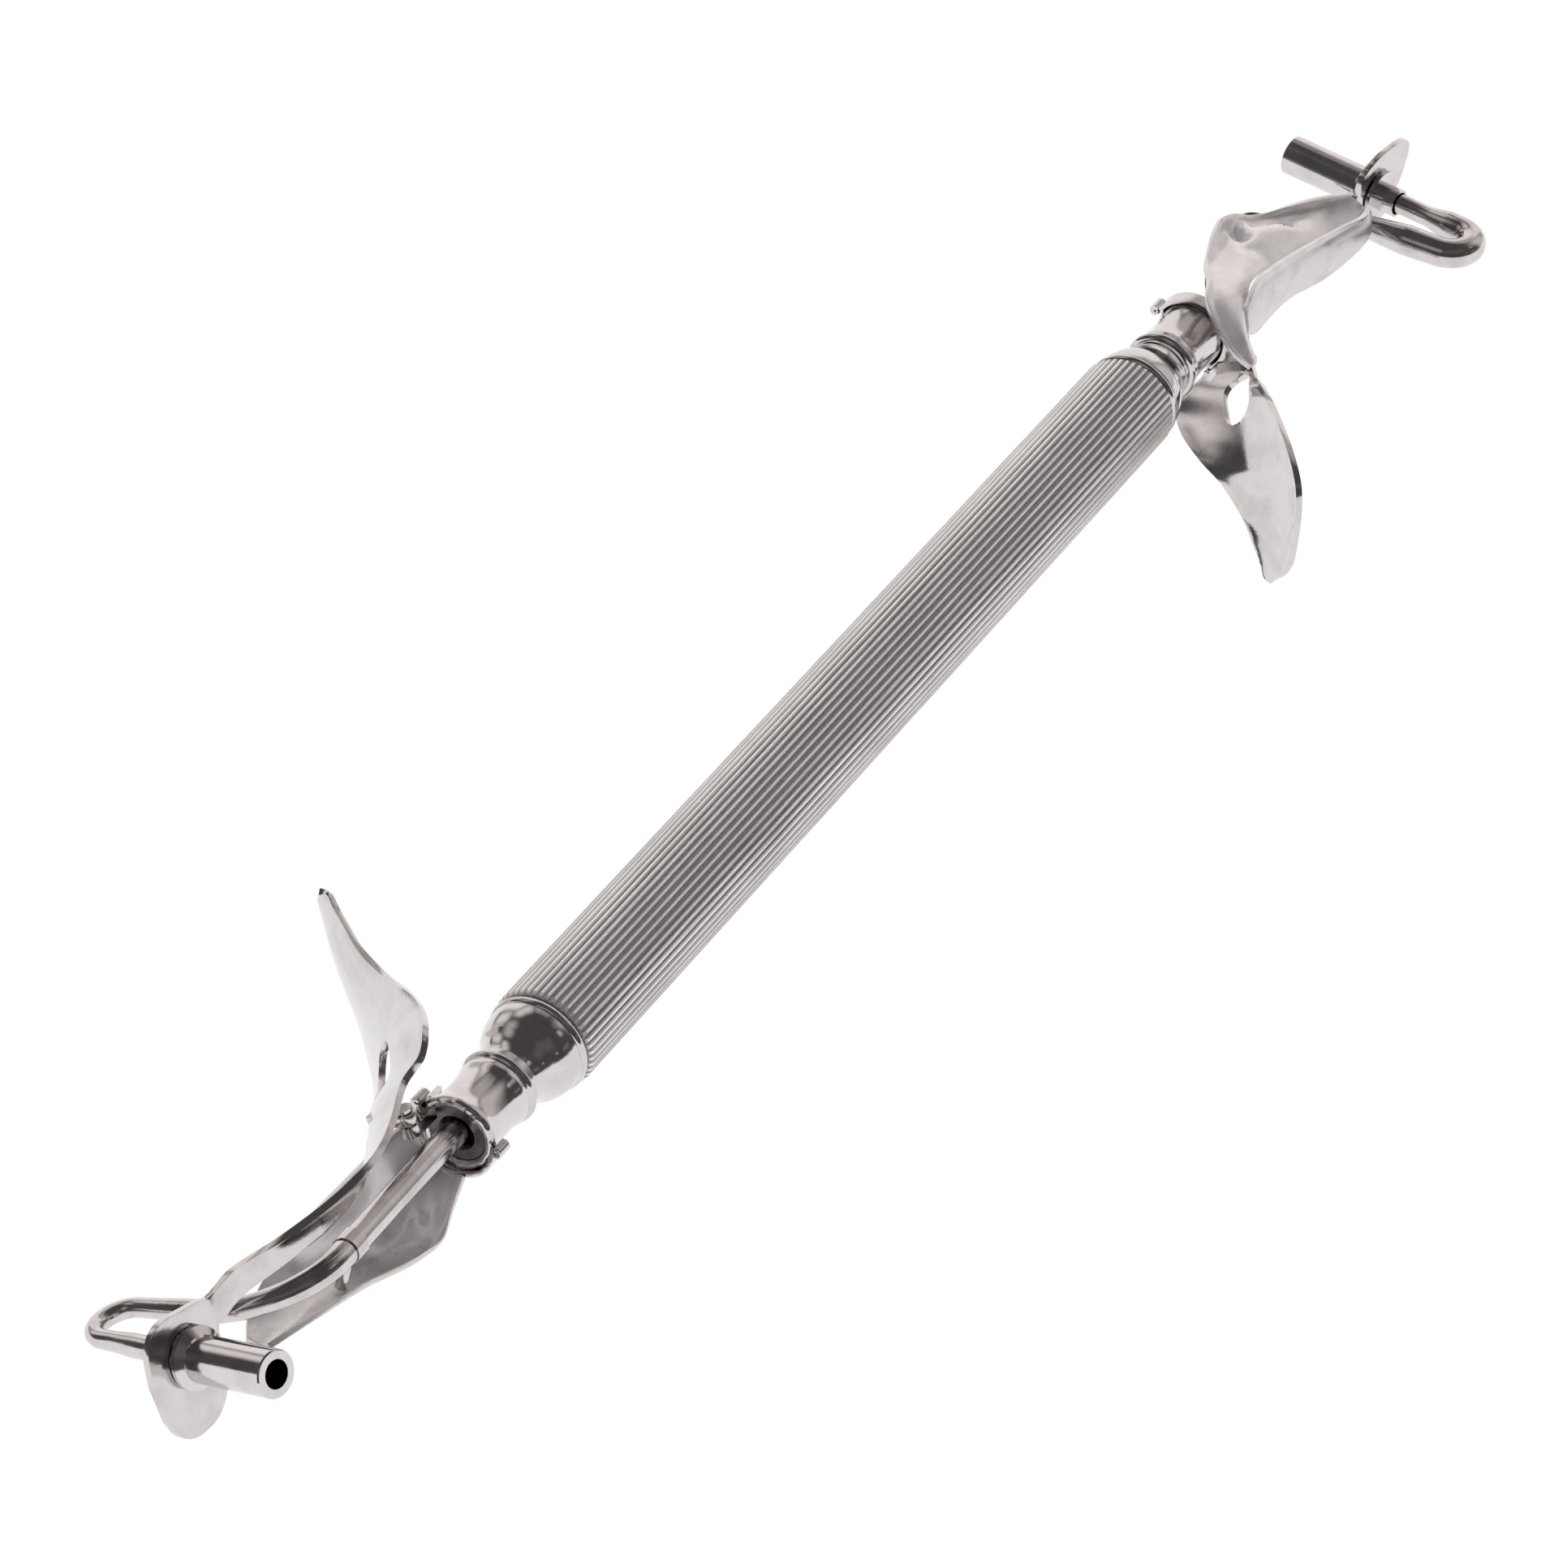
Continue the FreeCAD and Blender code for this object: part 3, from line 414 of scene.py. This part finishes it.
def roundEnded(long, wide, steps=14):
    reach = (long - wide) / 2
    outline = []
    for centre, start in ((reach, -90), (-reach, 90)):
        for step in range(steps + 1):
            turn = math.radians(start + 180 * step / steps)
            outline.append((centre + wide / 2 * math.cos(turn), wide / 2 * math.sin(turn)))
    return outline


# The tip plate's own directions: outwards along it, and through its hole.
def tabDirections():
    lean = math.radians(tab["lean"])
    return Vector((math.cos(lean), math.sin(lean), 0)), Vector((math.sin(lean), -math.cos(lean), 0))


def tabStations(letter):
    outwards = tabDirections()[0]
    middle = Vector(tab["middle"])
    stations = []
    for along, top, bottom in tab[letter]:
        foot = middle + outwards * along
        stations.append(((foot.x, foot.y, bottom), (foot.x, foot.y, top), 0.0))
    return stations


def leverGrid(letter):
    side = ends[letter]["side"]
    toWorld = endMatrix(letter)
    stations = wing + arms[letter] + tabStations(letter)
    free = [spotAt(letter, outer) for outer, inner, bow in stations]
    barSide = [spotAt(letter, inner) for outer, inner, bow in stations]
    bows = [Vector((bow, 0, 0)) for outer, inner, bow in stations]
    rows, columns = leverSheet["rowsPerSpan"] * (len(stations) - 1), leverSheet["columns"]
    halfStep = 0.5 / rows
    points = []
    for row in range(rows + 1):
        share = row / rows
        start, end, bow = between(free, share), between(barSide, share), between(bows, share).x
        ahead, behind = min(share + halfStep, 1), max(share - halfStep, 0)
        lead = between(free, ahead) + between(barSide, ahead)
        trail = between(free, behind) + between(barSide, behind)
        normal = (lead - trail).cross(end - start).normalized() * side
        for column in range(columns + 1):
            t = column / columns
            points.append(toWorld @ (start.lerp(end, t) + normal * bow * 4 * t * (1 - t)) * mm)
    return points, gridFaces(rows, columns)


def leverPiece(letter):
    points, faces = leverGrid(letter)
    piece = solidPiece("lever_sheet_" + letter, points, faces, sheetMetal)
    thickened(piece, leverSheet["thick"])
    for cut in sheetCuts.values():
        if letter not in cut["levers"]:
            continue
        long = spotAt(letter, cut["long"]).normalized()
        wide = spotAt(letter, cut["wide"])
        wide = (wide - long * wide.dot(long)).normalized()
        place = placeAt(letter, (long, wide, long.cross(wide)), cut["at"])
        cutBy(piece, prism("tool", roundEnded(*cut["size"]), -cut["reach"], cut["reach"], place))
    outwards, through = tabDirections()
    place = placeAt(letter, (outwards, through.cross(outwards), through), tab["middle"])
    hole = arc(tab["hole"], 0, 360, 9)
    cutBy(piece, prism("tool", hole, -tab["holeReach"], tab["holeReach"], place))
    rounded(piece, leverSheet["edge"], leverSheet["edgeSegments"])
    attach(piece, "press_" + letter)
    return piece


def lugPiece(letter):
    side = ends[letter]["side"]
    radius, reach = lug["radius"], lug["reach"]
    outline = arc(radius, 180, 361, 12) + [(radius, reach), (-radius, reach)]
    place = Matrix.Scale(mm, 4) @ endMatrix(letter).to_4x4() @ Matrix.Translation((*lug["pivot"], 0))
    low, high = sorted((-side * lug["near"], -side * lug["far"]))
    piece = prism("lever_lug_" + letter, outline, low, high, place)
    hole = arc(lug["hole"], 0, 360, 15)
    cutBy(piece, prism("tool", hole, -lug["holeReach"], lug["holeReach"], place))
    rounded(piece, lug["edge"])
    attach(piece, "press_" + letter)


for letter in ends:
    sheetPiece = leverPiece(letter)
    lugPiece(letter)
    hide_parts("lever_" + letter)
print("levers")

# Back plates: every row crosses the sheet from its rolled edge. A dent is its middle, its radius and its
# height, below zero where it sinks.
backSheets = {
    "leaf_a": {"rows": [
        [(84.6, 0.4, 5.1), (84.6, 3.0, 4.3), (84.6, 4.7, 1.4), (84.6, 4.5, -2.4)],
        [(88.2, 0.2, 6.6), (88.1, 3.0, 4.9), (88.0, 4.8, 1.6), (88.0, 4.5, -2.5)],
        [(91.4, 0.1, 8.1), (91.3, 3.0, 5.6), (91.2, 4.9, 2.0), (91.2, 4.6, -2.6)],
        [(95.0, 0.2, 7.8), (94.8, 3.7, 6.4), (94.6, 5.6, 2.6), (94.6, 4.7, -2.6)],
        [(100.4, 0.2, 6.2), (100.4, 3.6, 5.4), (100.4, 5.6, 2.2), (100.4, 4.9, -2.6)],
        [(106.0, 0.3, 4.6), (106.0, 3.1, 4.2), (106.0, 5.2, 1.9), (106.0, 5.8, -2.0)],
        [(111.0, 0.5, 3.5), (111.0, 2.6, 3.3), (111.0, 4.8, 1.8), (111.0, 6.4, -0.4)],
        [(114.6, 1.2, 3.0), (114.6, 2.8, 3.0), (114.6, 4.6, 2.2), (114.6, 6.2, 0.9)],
        [(117.4, 2.3, 2.9), (117.4, 3.2, 2.8), (117.4, 4.1, 2.4), (117.4, 4.9, 1.9)]],
        "dents": [((91.0, 2.5, 5.6), 0.7, 0.3), ((91.9, 3.2, 5.2), 0.7, -0.3), ((92.3, 1.7, 6.8), 1.2, 0.22),
                  ((88.4, 1.3, 6.0), 0.35, -0.14), ((87.3, 1.0, 5.6), 0.3, -0.1),
                  ((89.6, 1.7, 6.3), 0.35, -0.12), ((97.5, 3.6, 6.0), 3.0, -0.45),
                  ((103.5, 2.6, 5.0), 2.0, 0.25)]},
    "strip_b": {"rows": [
        [(80.8, 8.8, 0.0), (81.4, 8.9, 0.1), (82.0, 8.9, 0.1), (82.6, 8.8, 0.0)],
        [(80.2, 6.3, 2.1), (81.2, 6.9, 2.7), (82.2, 7.2, 2.8), (83.2, 7.0, 2.5)],
        [(81.4, 2.4, 5.7), (83.0, 3.8, 5.8), (84.6, 4.8, 5.2), (86.0, 5.0, 4.1)],
        [(85.5, 0.3, 6.2), (87.0, 1.6, 5.9), (88.4, 3.0, 5.3), (89.4, 3.9, 4.3)],
        [(90.2, -2.2, 5.2), (91.0, -0.6, 5.0), (92.0, 1.4, 4.8), (92.8, 3.3, 3.9)],
        [(98.1, -4.5, 6.0), (97.6, -2.4, 4.4), (97.2, 0.4, 4.2), (97.0, 3.4, 3.2)],
        [(104.6, -3.6, 3.3), (104.2, -2.0, 3.2), (104.0, 0.8, 4.0), (103.6, 4.2, 2.2)],
        [(109.7, -1.6, 2.4), (109.4, -0.4, 2.1), (109.2, 1.8, 2.6), (109.0, 5.2, 1.3)],
        [(113.2, 2.2, 3.4), (113.0, 2.8, 2.6), (112.8, 4.2, 2.0), (112.8, 6.4, 0.9)],
        [(116.2, 4.6, 3.2), (116.4, 5.2, 2.6), (116.6, 6.0, 2.0), (116.8, 6.7, 1.2)]],
        "dents": [((99.6, -2.0, 4.0), 1.3, -1.5), ((97.4, 0.2, 4.3), 1.1, -0.6),
                  ((107.6, -0.4, 2.6), 2.6, -1.3), ((104.6, -1.6, 3.2), 1.8, -0.9),
                  ((111.0, 1.2, 2.4), 2.0, -0.6)]},
    "wall_b": {"rows": [
        [(86.0, 5.1, 4.2), (85.6, 5.6, 3.6), (85.1, 6.1, 2.8), (84.3, 6.5, 1.8)],
        [(90.5, 4.2, 5.1), (90.8, 5.2, 3.4), (91.0, 5.4, 0.6), (91.4, 4.8, -2.4)],
        [(94.0, 4.3, 4.8), (94.2, 5.3, 3.0), (94.4, 5.5, 0.4), (94.6, 4.6, -2.6)],
        [(100.2, 4.9, 3.9), (100.2, 5.7, 2.4), (100.3, 5.7, 0.0), (100.4, 4.9, -2.6)],
        [(105.6, 5.6, 3.1), (105.8, 6.4, 1.8), (106.0, 6.8, -0.4), (106.0, 6.6, -2.6)],
        [(110.6, 6.6, 2.5), (110.8, 7.4, 1.6), (111.0, 7.9, 0.2), (111.0, 8.0, -1.6)],
        [(114.2, 7.3, 1.9), (114.4, 7.8, 1.3), (114.6, 8.2, 0.5), (114.6, 8.4, -0.6)],
        [(116.8, 6.9, 1.7), (116.9, 7.1, 1.4), (117.0, 7.2, 1.1), (117.0, 7.4, 0.7)]],
        "dents": [((97.0, 5.4, 1.4), 2.2, -0.2), ((107.0, 6.7, 0.6), 1.6, 0.25)]},
}
# "facing" is the side of the sheet that its rolled edge and its dents rise to.
backStyle = {"thick": 0.62, "edge": 0.12, "lip": 0.42, "lipWidth": 0.10, "rowsPerSpan": 10, "columns": 22,
             "facing": {"a": (0.7, -0.5, -0.5), "b": (0.7, 0.4, -0.7)}}


def backSheet(label):
    letter = label[-1]
    toWorld = endMatrix(letter)
    rows = [[spotAt(letter, spot) for spot in row] for row in backSheets[label]["rows"]]
    dents = [(spotAt(letter, spot), radius, height) for spot, radius, height in backSheets[label]["dents"]]
    facing = Vector(backStyle["facing"][letter])
    columns = backStyle["columns"]
    lines = [[between(row, column / columns) for row in rows] for column in range(columns + 1)]
    steps = backStyle["rowsPerSpan"] * (len(rows) - 1)
    grid = [[between(line, step / steps) for line in lines] for step in range(steps + 1)]
    points = []
    for step, row in enumerate(grid):
        for column, point in enumerate(row):
            ahead = grid[min(step + 1, steps)][column] - grid[max(step - 1, 0)][column]
            aside = row[min(column + 1, columns)] - row[max(column - 1, 0)]
            normal = ahead.cross(aside).normalized()
            if normal.dot(facing) < 0:
                normal = -normal
            rise = backStyle["lip"] * math.exp(-(column / columns / backStyle["lipWidth"]) ** 2)
            for middle, radius, height in dents:
                away = (point - middle).length / radius
                rise += height * math.exp(-away * away)
            points.append(toWorld @ (point + normal * rise) * mm)
    piece = solidPiece("back_" + label, points, gridFaces(steps, columns), plateMetal)
    thickened(piece, backStyle["thick"])
    rounded(piece, backStyle["edge"])
    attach(piece, "end_" + letter)
    return piece


# Saddle clip round the collar's front: a pressed band with a rolled tab at each end. Turns in degrees.
# Ripples are (rate, height, start).
clip = {"at": 82.8, "end": 84.7, "levels": 8, "radius": 4.66, "thick": 0.5, "edge": 0.1,
        "from": -54, "to": 160, "every": 3, "roll": 0.42, "rollTurn": 300.0, "rollSteps": 14,
        "wobble": 0.03, "ripples": [(0.5, 1.0, 0.0), (1.1, 0.6, 1.0)]}


def rolledTab(tip, way):
    centre = tip + tip.normalized() * clip["roll"]
    arm = tip - centre
    curl = []
    for step in range(1, clip["rollSteps"] + 1):
        turn = math.radians(clip["rollTurn"] * step / clip["rollSteps"]) * way
        curl.append(centre + Vector((arm.x * math.cos(turn) - arm.y * math.sin(turn),
                                     arm.x * math.sin(turn) + arm.y * math.cos(turn))))
    return curl


def clipPiece(letter):
    toWorld = endMatrix(letter)
    band = [Vector(spot) for spot in arc(clip["radius"], clip["from"], clip["to"] + 1, clip["every"])]
    across = rolledTab(band[0], -1)[::-1] + band + rolledTab(band[-1], 1)
    levels = clip["levels"]
    points = []
    for level in range(levels + 1):
        share = level / levels
        along = clip["at"] + (clip["end"] - clip["at"]) * share
        for index, spot in enumerate(across):
            shift = clip["wobble"] * share * waves(index, clip["ripples"])
            points.append(toWorld @ spotAt(letter, (along + shift, spot.x, spot.y)) * mm)
    piece = solidPiece("saddle_clip_" + letter, points, gridFaces(levels, len(across) - 1), sheetMetal)
    thickened(piece, clip["thick"], even=False)
    rounded(piece, clip["edge"])
    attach(piece, "end_" + letter)


for letter in ends:
    clipPiece(letter)
leafA = backSheet("leaf_a")
stripB = backSheet("strip_b")
backSheet("wall_b")
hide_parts("back_plate_a")
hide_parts("back_plate_b")
print("saddle clips and back plates")

# Collars: a turned spool, (along, radius) in mm, with a rolled flange at the back and a rim at the front that
# is beaten uneven. Blows are (waves round the rim, height, start) and push it outward and forward.
collarTurning = {
    "profile": [(74.97, 3.0), (74.97, 3.85), (75.06, 4.16), (75.25, 4.36), (75.5, 4.44), (75.75, 4.38),
                (75.95, 4.2), (76.05, 4.06), (76.25, 4.04), (76.6, 4.12), (77.0, 4.08), (77.5, 3.96),
                (78.2, 3.88), (79.2, 3.85), (80.4, 3.86), (81.4, 3.92), (82.2, 4.02), (82.8, 4.18),
                (83.2, 4.34), (83.6, 4.42), (83.95, 4.36), (84.15, 4.15), (84.2, 3.8), (84.1, 3.5),
                (83.9, 3.34), (83.4, 3.3), (81.0, 3.3), (78.1, 3.3), (78.1, 2.6)],
    "turns": 128, "smoothBelow": 60, "beatenFrom": 82.6, "beatenTo": 83.8, "beaten": 0.07,
    "boreBelow": 3.4, "outward": 0.4, "forward": 0.8, "blows": [(5, 1.0, 0.7), (9, 0.8, 2.1), (16, 0.6, 0.0)]}


def collarPiece(letter):
    style = collarTurning
    toWorld = endMatrix(letter)
    turns, rings = style["turns"], len(style["profile"])
    points = []
    for along, radius in style["profile"]:
        reach = (along - style["beatenFrom"]) / (style["beatenTo"] - style["beatenFrom"])
        share = max(0, min(1, reach)) * style["beaten"] if radius > style["boreBelow"] else 0
        for turn in range(turns):
            angle = math.tau * turn / turns
            blow = waves(angle, style["blows"])
            r = radius + style["outward"] * share * blow
            forward = along + share * blow * style["forward"]
            points.append(toWorld @ Vector((forward, r * math.cos(angle), r * math.sin(angle))) * mm)
    faces = []
    for ring in range(rings - 1):
        for turn in range(turns):
            at, after = ring * turns + turn, ring * turns + (turn + 1) % turns
            faces.append([at, after, after + turns, at + turns])
    last = (rings - 1) * turns
    faces.append(list(range(turns))[::-1])
    faces.append(list(range(last, last + turns)))
    piece = solidPiece("collar_spool_" + letter, points, faces, polished)
    smoothed(piece, style["smoothBelow"])
    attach(piece, "end_" + letter)
    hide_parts("collar_" + letter)


# Hook wires: the wire swells or thins from a point along its run, in mm on the radius. The free leg, past
# "legPast" along, keeps its CAD radius where the sleeve slides, and ramps up between the cuts made across it.
wireSwell = {"a": {"grow": -0.22, "axis": 0, "from": 106.0, "over": 10.0},
             "b": {"grow": 0.56, "axis": 1, "from": 7.5, "over": 4.5}}
wireLeg = {"legPast": 121.0, "rampFrom": 12.0, "rampTo": 15.0,
           "weld": 0.001, "cuts": [7.5, 9.0, 10.5, 12.0, 12.75, 13.5, 14.25, 15.0]}


def hookWirePiece(letter):
    swell = wireSwell[letter]
    toWorld = endMatrix(letter)
    inverse = toWorld.transposed()
    piece = drawnCopy("hook_wire_" + letter, "hook_wire_drawn_" + letter)
    mesh = piece.data
    for layer in [item for item in mesh.attributes if item.name == "custom_normal"]:
        mesh.attributes.remove(layer)
    work = bmesh.new()
    work.from_mesh(mesh)
    bmesh.ops.remove_doubles(work, verts=work.verts, dist=wireLeg["weld"] * mm)
    for level in wireLeg["cuts"]:
        whole = work.verts[:] + work.edges[:] + work.faces[:]
        bmesh.ops.bisect_plane(work, geom=whole, plane_co=toWorld @ Vector((0, level, 0)) * mm,
                               plane_no=toWorld @ Vector((0, 1, 0)))
    work.to_mesh(mesh)
    work.free()
    first, last = wireLeg["rampFrom"], wireLeg["rampTo"]
    moves = []
    for vertex in mesh.vertices:
        spot = inverse @ vertex.co / mm
        grown = max(0, min(1, (spot[swell["axis"]] - swell["from"]) / swell["over"]))
        onLeg = max(0, min(1, (spot.y - first) / (last - first))) if spot.x > wireLeg["legPast"] else 1
        moves.append(vertex.normal * (swell["grow"] * grown * onLeg * mm))
    for vertex, move in zip(mesh.vertices, moves):
        vertex.co += move
    smoothed(piece)
    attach(piece, "end_" + letter)
    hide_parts("hook_wire_" + letter)


# Stays: the ring is drawn in to a thin band on the wire, its pin stays as it is. Radii in mm.
stayBand = {"ringBelow": 2.25, "halfWide": 1.1, "boreBelow": 1.5, "band": 1.60, "square": 0.999}


def stayPiece(letter):
    piece = drawnCopy("stay_" + letter, "stay_band_" + letter)
    mesh = piece.data
    areas = {}
    for polygon in mesh.polygons:
        key = tuple(round(value, 2) for value in polygon.normal)
        areas[key] = areas.get(key, 0) + polygon.area
    # The widest flat faces are the ring's rims, which give its axis and its middle.
    heading = Vector(max(areas, key=areas.get)).normalized()
    rims = [polygon for polygon in mesh.polygons if abs(polygon.normal.dot(heading)) > stayBand["square"]]
    total = sum(polygon.area for polygon in rims)
    centre = sum((polygon.center * polygon.area for polygon in rims), Vector()) / total
    for vertex in mesh.vertices:
        away = vertex.co - centre
        along = heading * away.dot(heading)
        outward = away - along
        onRing = stayBand["boreBelow"] * mm < outward.length < stayBand["ringBelow"] * mm
        if onRing and along.length < stayBand["halfWide"] * mm:
            vertex.co = centre + along + outward.normalized() * stayBand["band"] * mm
    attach(piece, "end_" + letter)
    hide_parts("stay_" + letter)


for letter in ends:
    collarPiece(letter)
    hookWirePiece(letter)
    stayPiece(letter)
print("collars, wires and stays")

# Studio
lowest = solidBox[0].z
studio = {"floorSize": 3.0, "floorGap": 0.0004, "floorTone": (0.80, 0.80, 0.80), "floorRough": 0.9}


def brightBackdrop(tree, surface, output):
    # The backdrop stays plain white to the eye and in reflections of it.
    path = addNode(tree, "ShaderNodeLightPath")
    seen = addNode(tree, "ShaderNodeMath", operation="MAXIMUM")
    tree.links.new(path.outputs["Is Camera Ray"], seen.inputs[0])
    tree.links.new(path.outputs["Is Glossy Ray"], seen.inputs[1])
    white = addNode(tree, "ShaderNodeEmission")
    white.inputs["Color"].default_value = (1, 1, 1, 1)
    mix = addNode(tree, "ShaderNodeMixShader")
    tree.links.new(seen.outputs[0], mix.inputs[0])
    tree.links.new(surface, mix.inputs[1])
    tree.links.new(white.outputs[0], mix.inputs[2])
    tree.links.new(mix.outputs[0], output)


def floorPiece():
    half = studio["floorSize"] / 2
    height = lowest - studio["floorGap"]
    material, tree, shader = nodeTree("paleFloor")
    shader.inputs["Base Color"].default_value = (*studio["floorTone"], 1)
    shader.inputs["Roughness"].default_value = studio["floorRough"]
    brightBackdrop(tree, shader.outputs[0], tree.nodes["Material Output"].inputs["Surface"])
    corners = [(-half, -half, height), (half, -half, height), (half, half, height), (-half, half, height)]
    floor = solidPiece("floor", corners, [[0, 1, 2, 3]], material)


floorPiece()

# The room's bright windows, in degrees: middle about +Z from +X, half width, lowest, highest, softness, and
# then the strength.
room = {
    "dim": 0.075, "tone": (1.0, 0.95, 0.94), "wobble": 0.06, "cloudScale": 3.0, "cloudDetail": 3.0,
    "windows": [
        (27, 34, -6, 35, 7, 1.02),
        (52, 20, 36, 56, 11, 0.85),
        (76, 12, 4, 34, 10, 0.90),
        (6, 22, 30, 56, 10, 0.50),
        (104, 18, 32, 58, 12, 0.50),
        (175, 20, 30, 52, 12, 0.42),
        (334, 19, -6, 46, 12, 0.68),
        (322, 16, 34, 56, 8, 0.20),
        (301, 5, 31, 42, 5, 0.62),
        (290, 9, 8, 16, 4, 0.20),
        (150, 12, -8, 12, 9, 0.22),
        (236, 40, 22, 60, 14, 0.12),
        (265, 1.2, 15, 17, 1, 2.0),
    ],
}


def calc(tree, operation, first, second=None):
    node = addNode(tree, "ShaderNodeMath", operation=operation)
    for socket, value in zip(node.inputs, (first, second)):
        if isinstance(value, (int, float)):
            socket.default_value = value
        elif value is not None:
            tree.links.new(value, socket)
    return node.outputs[0]


def softStep(tree, value, half, soft):
    edge = addNode(tree, "ShaderNodeMapRange", interpolation_type="SMOOTHSTEP")
    edge.inputs["From Min"].default_value = math.radians(half + soft)
    edge.inputs["From Max"].default_value = math.radians(half - soft)
    tree.links.new(value, edge.inputs["Value"])
    return edge.outputs["Result"]


def studioWorld():
    world = bpy.data.worlds.new("studio")
    bpy.context.scene.world = world
    world.use_nodes = True
    tree = world.node_tree
    tree.nodes.clear()
    direction = addNode(tree, "ShaderNodeTexCoord").outputs["Generated"]
    cloud = addNode(tree, "ShaderNodeTexNoise")
    cloud.inputs["Scale"].default_value = room["cloudScale"]
    cloud.inputs["Detail"].default_value = room["cloudDetail"]
    tree.links.new(direction, cloud.inputs["Vector"])
    shift = addNode(tree, "ShaderNodeVectorMath", operation="MULTIPLY_ADD")
    tree.links.new(cloud.outputs["Color"], shift.inputs[0])
    shift.inputs[1].default_value = (room["wobble"],) * 3
    tree.links.new(direction, shift.inputs[2])
    centred = addNode(tree, "ShaderNodeVectorMath", operation="SUBTRACT")
    tree.links.new(shift.outputs[0], centred.inputs[0])
    centred.inputs[1].default_value = (0.5 * room["wobble"],) * 3
    unit = addNode(tree, "ShaderNodeVectorMath", operation="NORMALIZE")
    tree.links.new(centred.outputs[0], unit.inputs[0])
    parts = addNode(tree, "ShaderNodeSeparateXYZ")
    tree.links.new(unit.outputs[0], parts.inputs[0])
    height = calc(tree, "ARCSINE", parts.outputs["Z"])
    total = room["dim"]
    for middle, half, low, high, soft, strength in room["windows"]:
        turned = addNode(tree, "ShaderNodeVectorRotate", rotation_type="Z_AXIS")
        turned.inputs["Angle"].default_value = -math.radians(middle)
        tree.links.new(unit.outputs[0], turned.inputs["Vector"])
        sides = addNode(tree, "ShaderNodeSeparateXYZ")
        tree.links.new(turned.outputs[0], sides.inputs[0])
        aside = calc(tree, "ABSOLUTE", calc(tree, "ARCTAN2", sides.outputs["Y"], sides.outputs["X"]))
        above = calc(tree, "ABSOLUTE", calc(tree, "SUBTRACT", height, math.radians((low + high) / 2)))
        inside = softStep(tree, aside, half, soft), softStep(tree, above, (high - low) / 2, soft)
        lit = calc(tree, "MULTIPLY", *inside)
        total = calc(tree, "MAXIMUM", total, calc(tree, "MULTIPLY", lit, strength))
    light = addNode(tree, "ShaderNodeBackground")
    tree.links.new(total, light.inputs["Strength"])
    light.inputs["Color"].default_value = (*room["tone"], 1)
    white = addNode(tree, "ShaderNodeBackground")
    white.inputs["Color"].default_value = (1, 1, 1, 1)
    path = addNode(tree, "ShaderNodeLightPath")
    mix = addNode(tree, "ShaderNodeMixShader")
    tree.links.new(path.outputs["Is Camera Ray"], mix.inputs[0])
    tree.links.new(light.outputs[0], mix.inputs[1])
    tree.links.new(white.outputs[0], mix.inputs[2])
    output = addNode(tree, "ShaderNodeOutputWorld")
    tree.links.new(mix.outputs[0], output.inputs["Surface"])


studioWorld()

# The lamps light the bar but stay out of its reflections.
lamps = {"keyLamp": {"place": (0.55, 0.25, 0.75), "aim": (0, 0, 0), "size": 0.5, "power": 6.0},
         "fillLamp": {"place": (-0.75, -0.35, 0.55), "aim": (-0.1, 0, 0), "size": 0.5, "power": 5.0}}


def softLamp(name, place, aim, size, power):
    lamp = bpy.data.lights.new(name, "AREA")
    lamp.shape = "DISK"
    lamp.size = size
    lamp.energy = power
    item = bpy.data.objects.new(name, lamp)
    bpy.context.collection.objects.link(item)
    item.location = place
    item.rotation_mode = "QUATERNION"
    item.rotation_quaternion = (Vector(aim) - Vector(place)).to_track_quat("-Z", "Y")
    item.visible_glossy = False


for name, lamp in lamps.items():
    softLamp(name, **lamp)

# The camera stands at the photo's viewing angle
lens = {"place": (-0.5299, -0.2867, 0.4488), "forward": (0.694, 0.387, -0.607), "length": 156.92,
        "sensor": 36.0, "near": 0.01, "far": 20.0}
eye = bpy.data.cameras.new("camera")
eye.lens = lens["length"]
eye.sensor_width = lens["sensor"]
eye.clip_start = lens["near"]
eye.clip_end = lens["far"]
camera = bpy.data.objects.new("camera", eye)
bpy.context.collection.objects.link(camera)
camera.location = lens["place"]
camera.rotation_mode = "QUATERNION"
camera.rotation_quaternion = Vector(lens["forward"]).to_track_quat("-Z", "Y")
bpy.context.scene.camera = camera
bpy.context.scene.view_settings.view_transform = "Standard"
print("studio and camera")
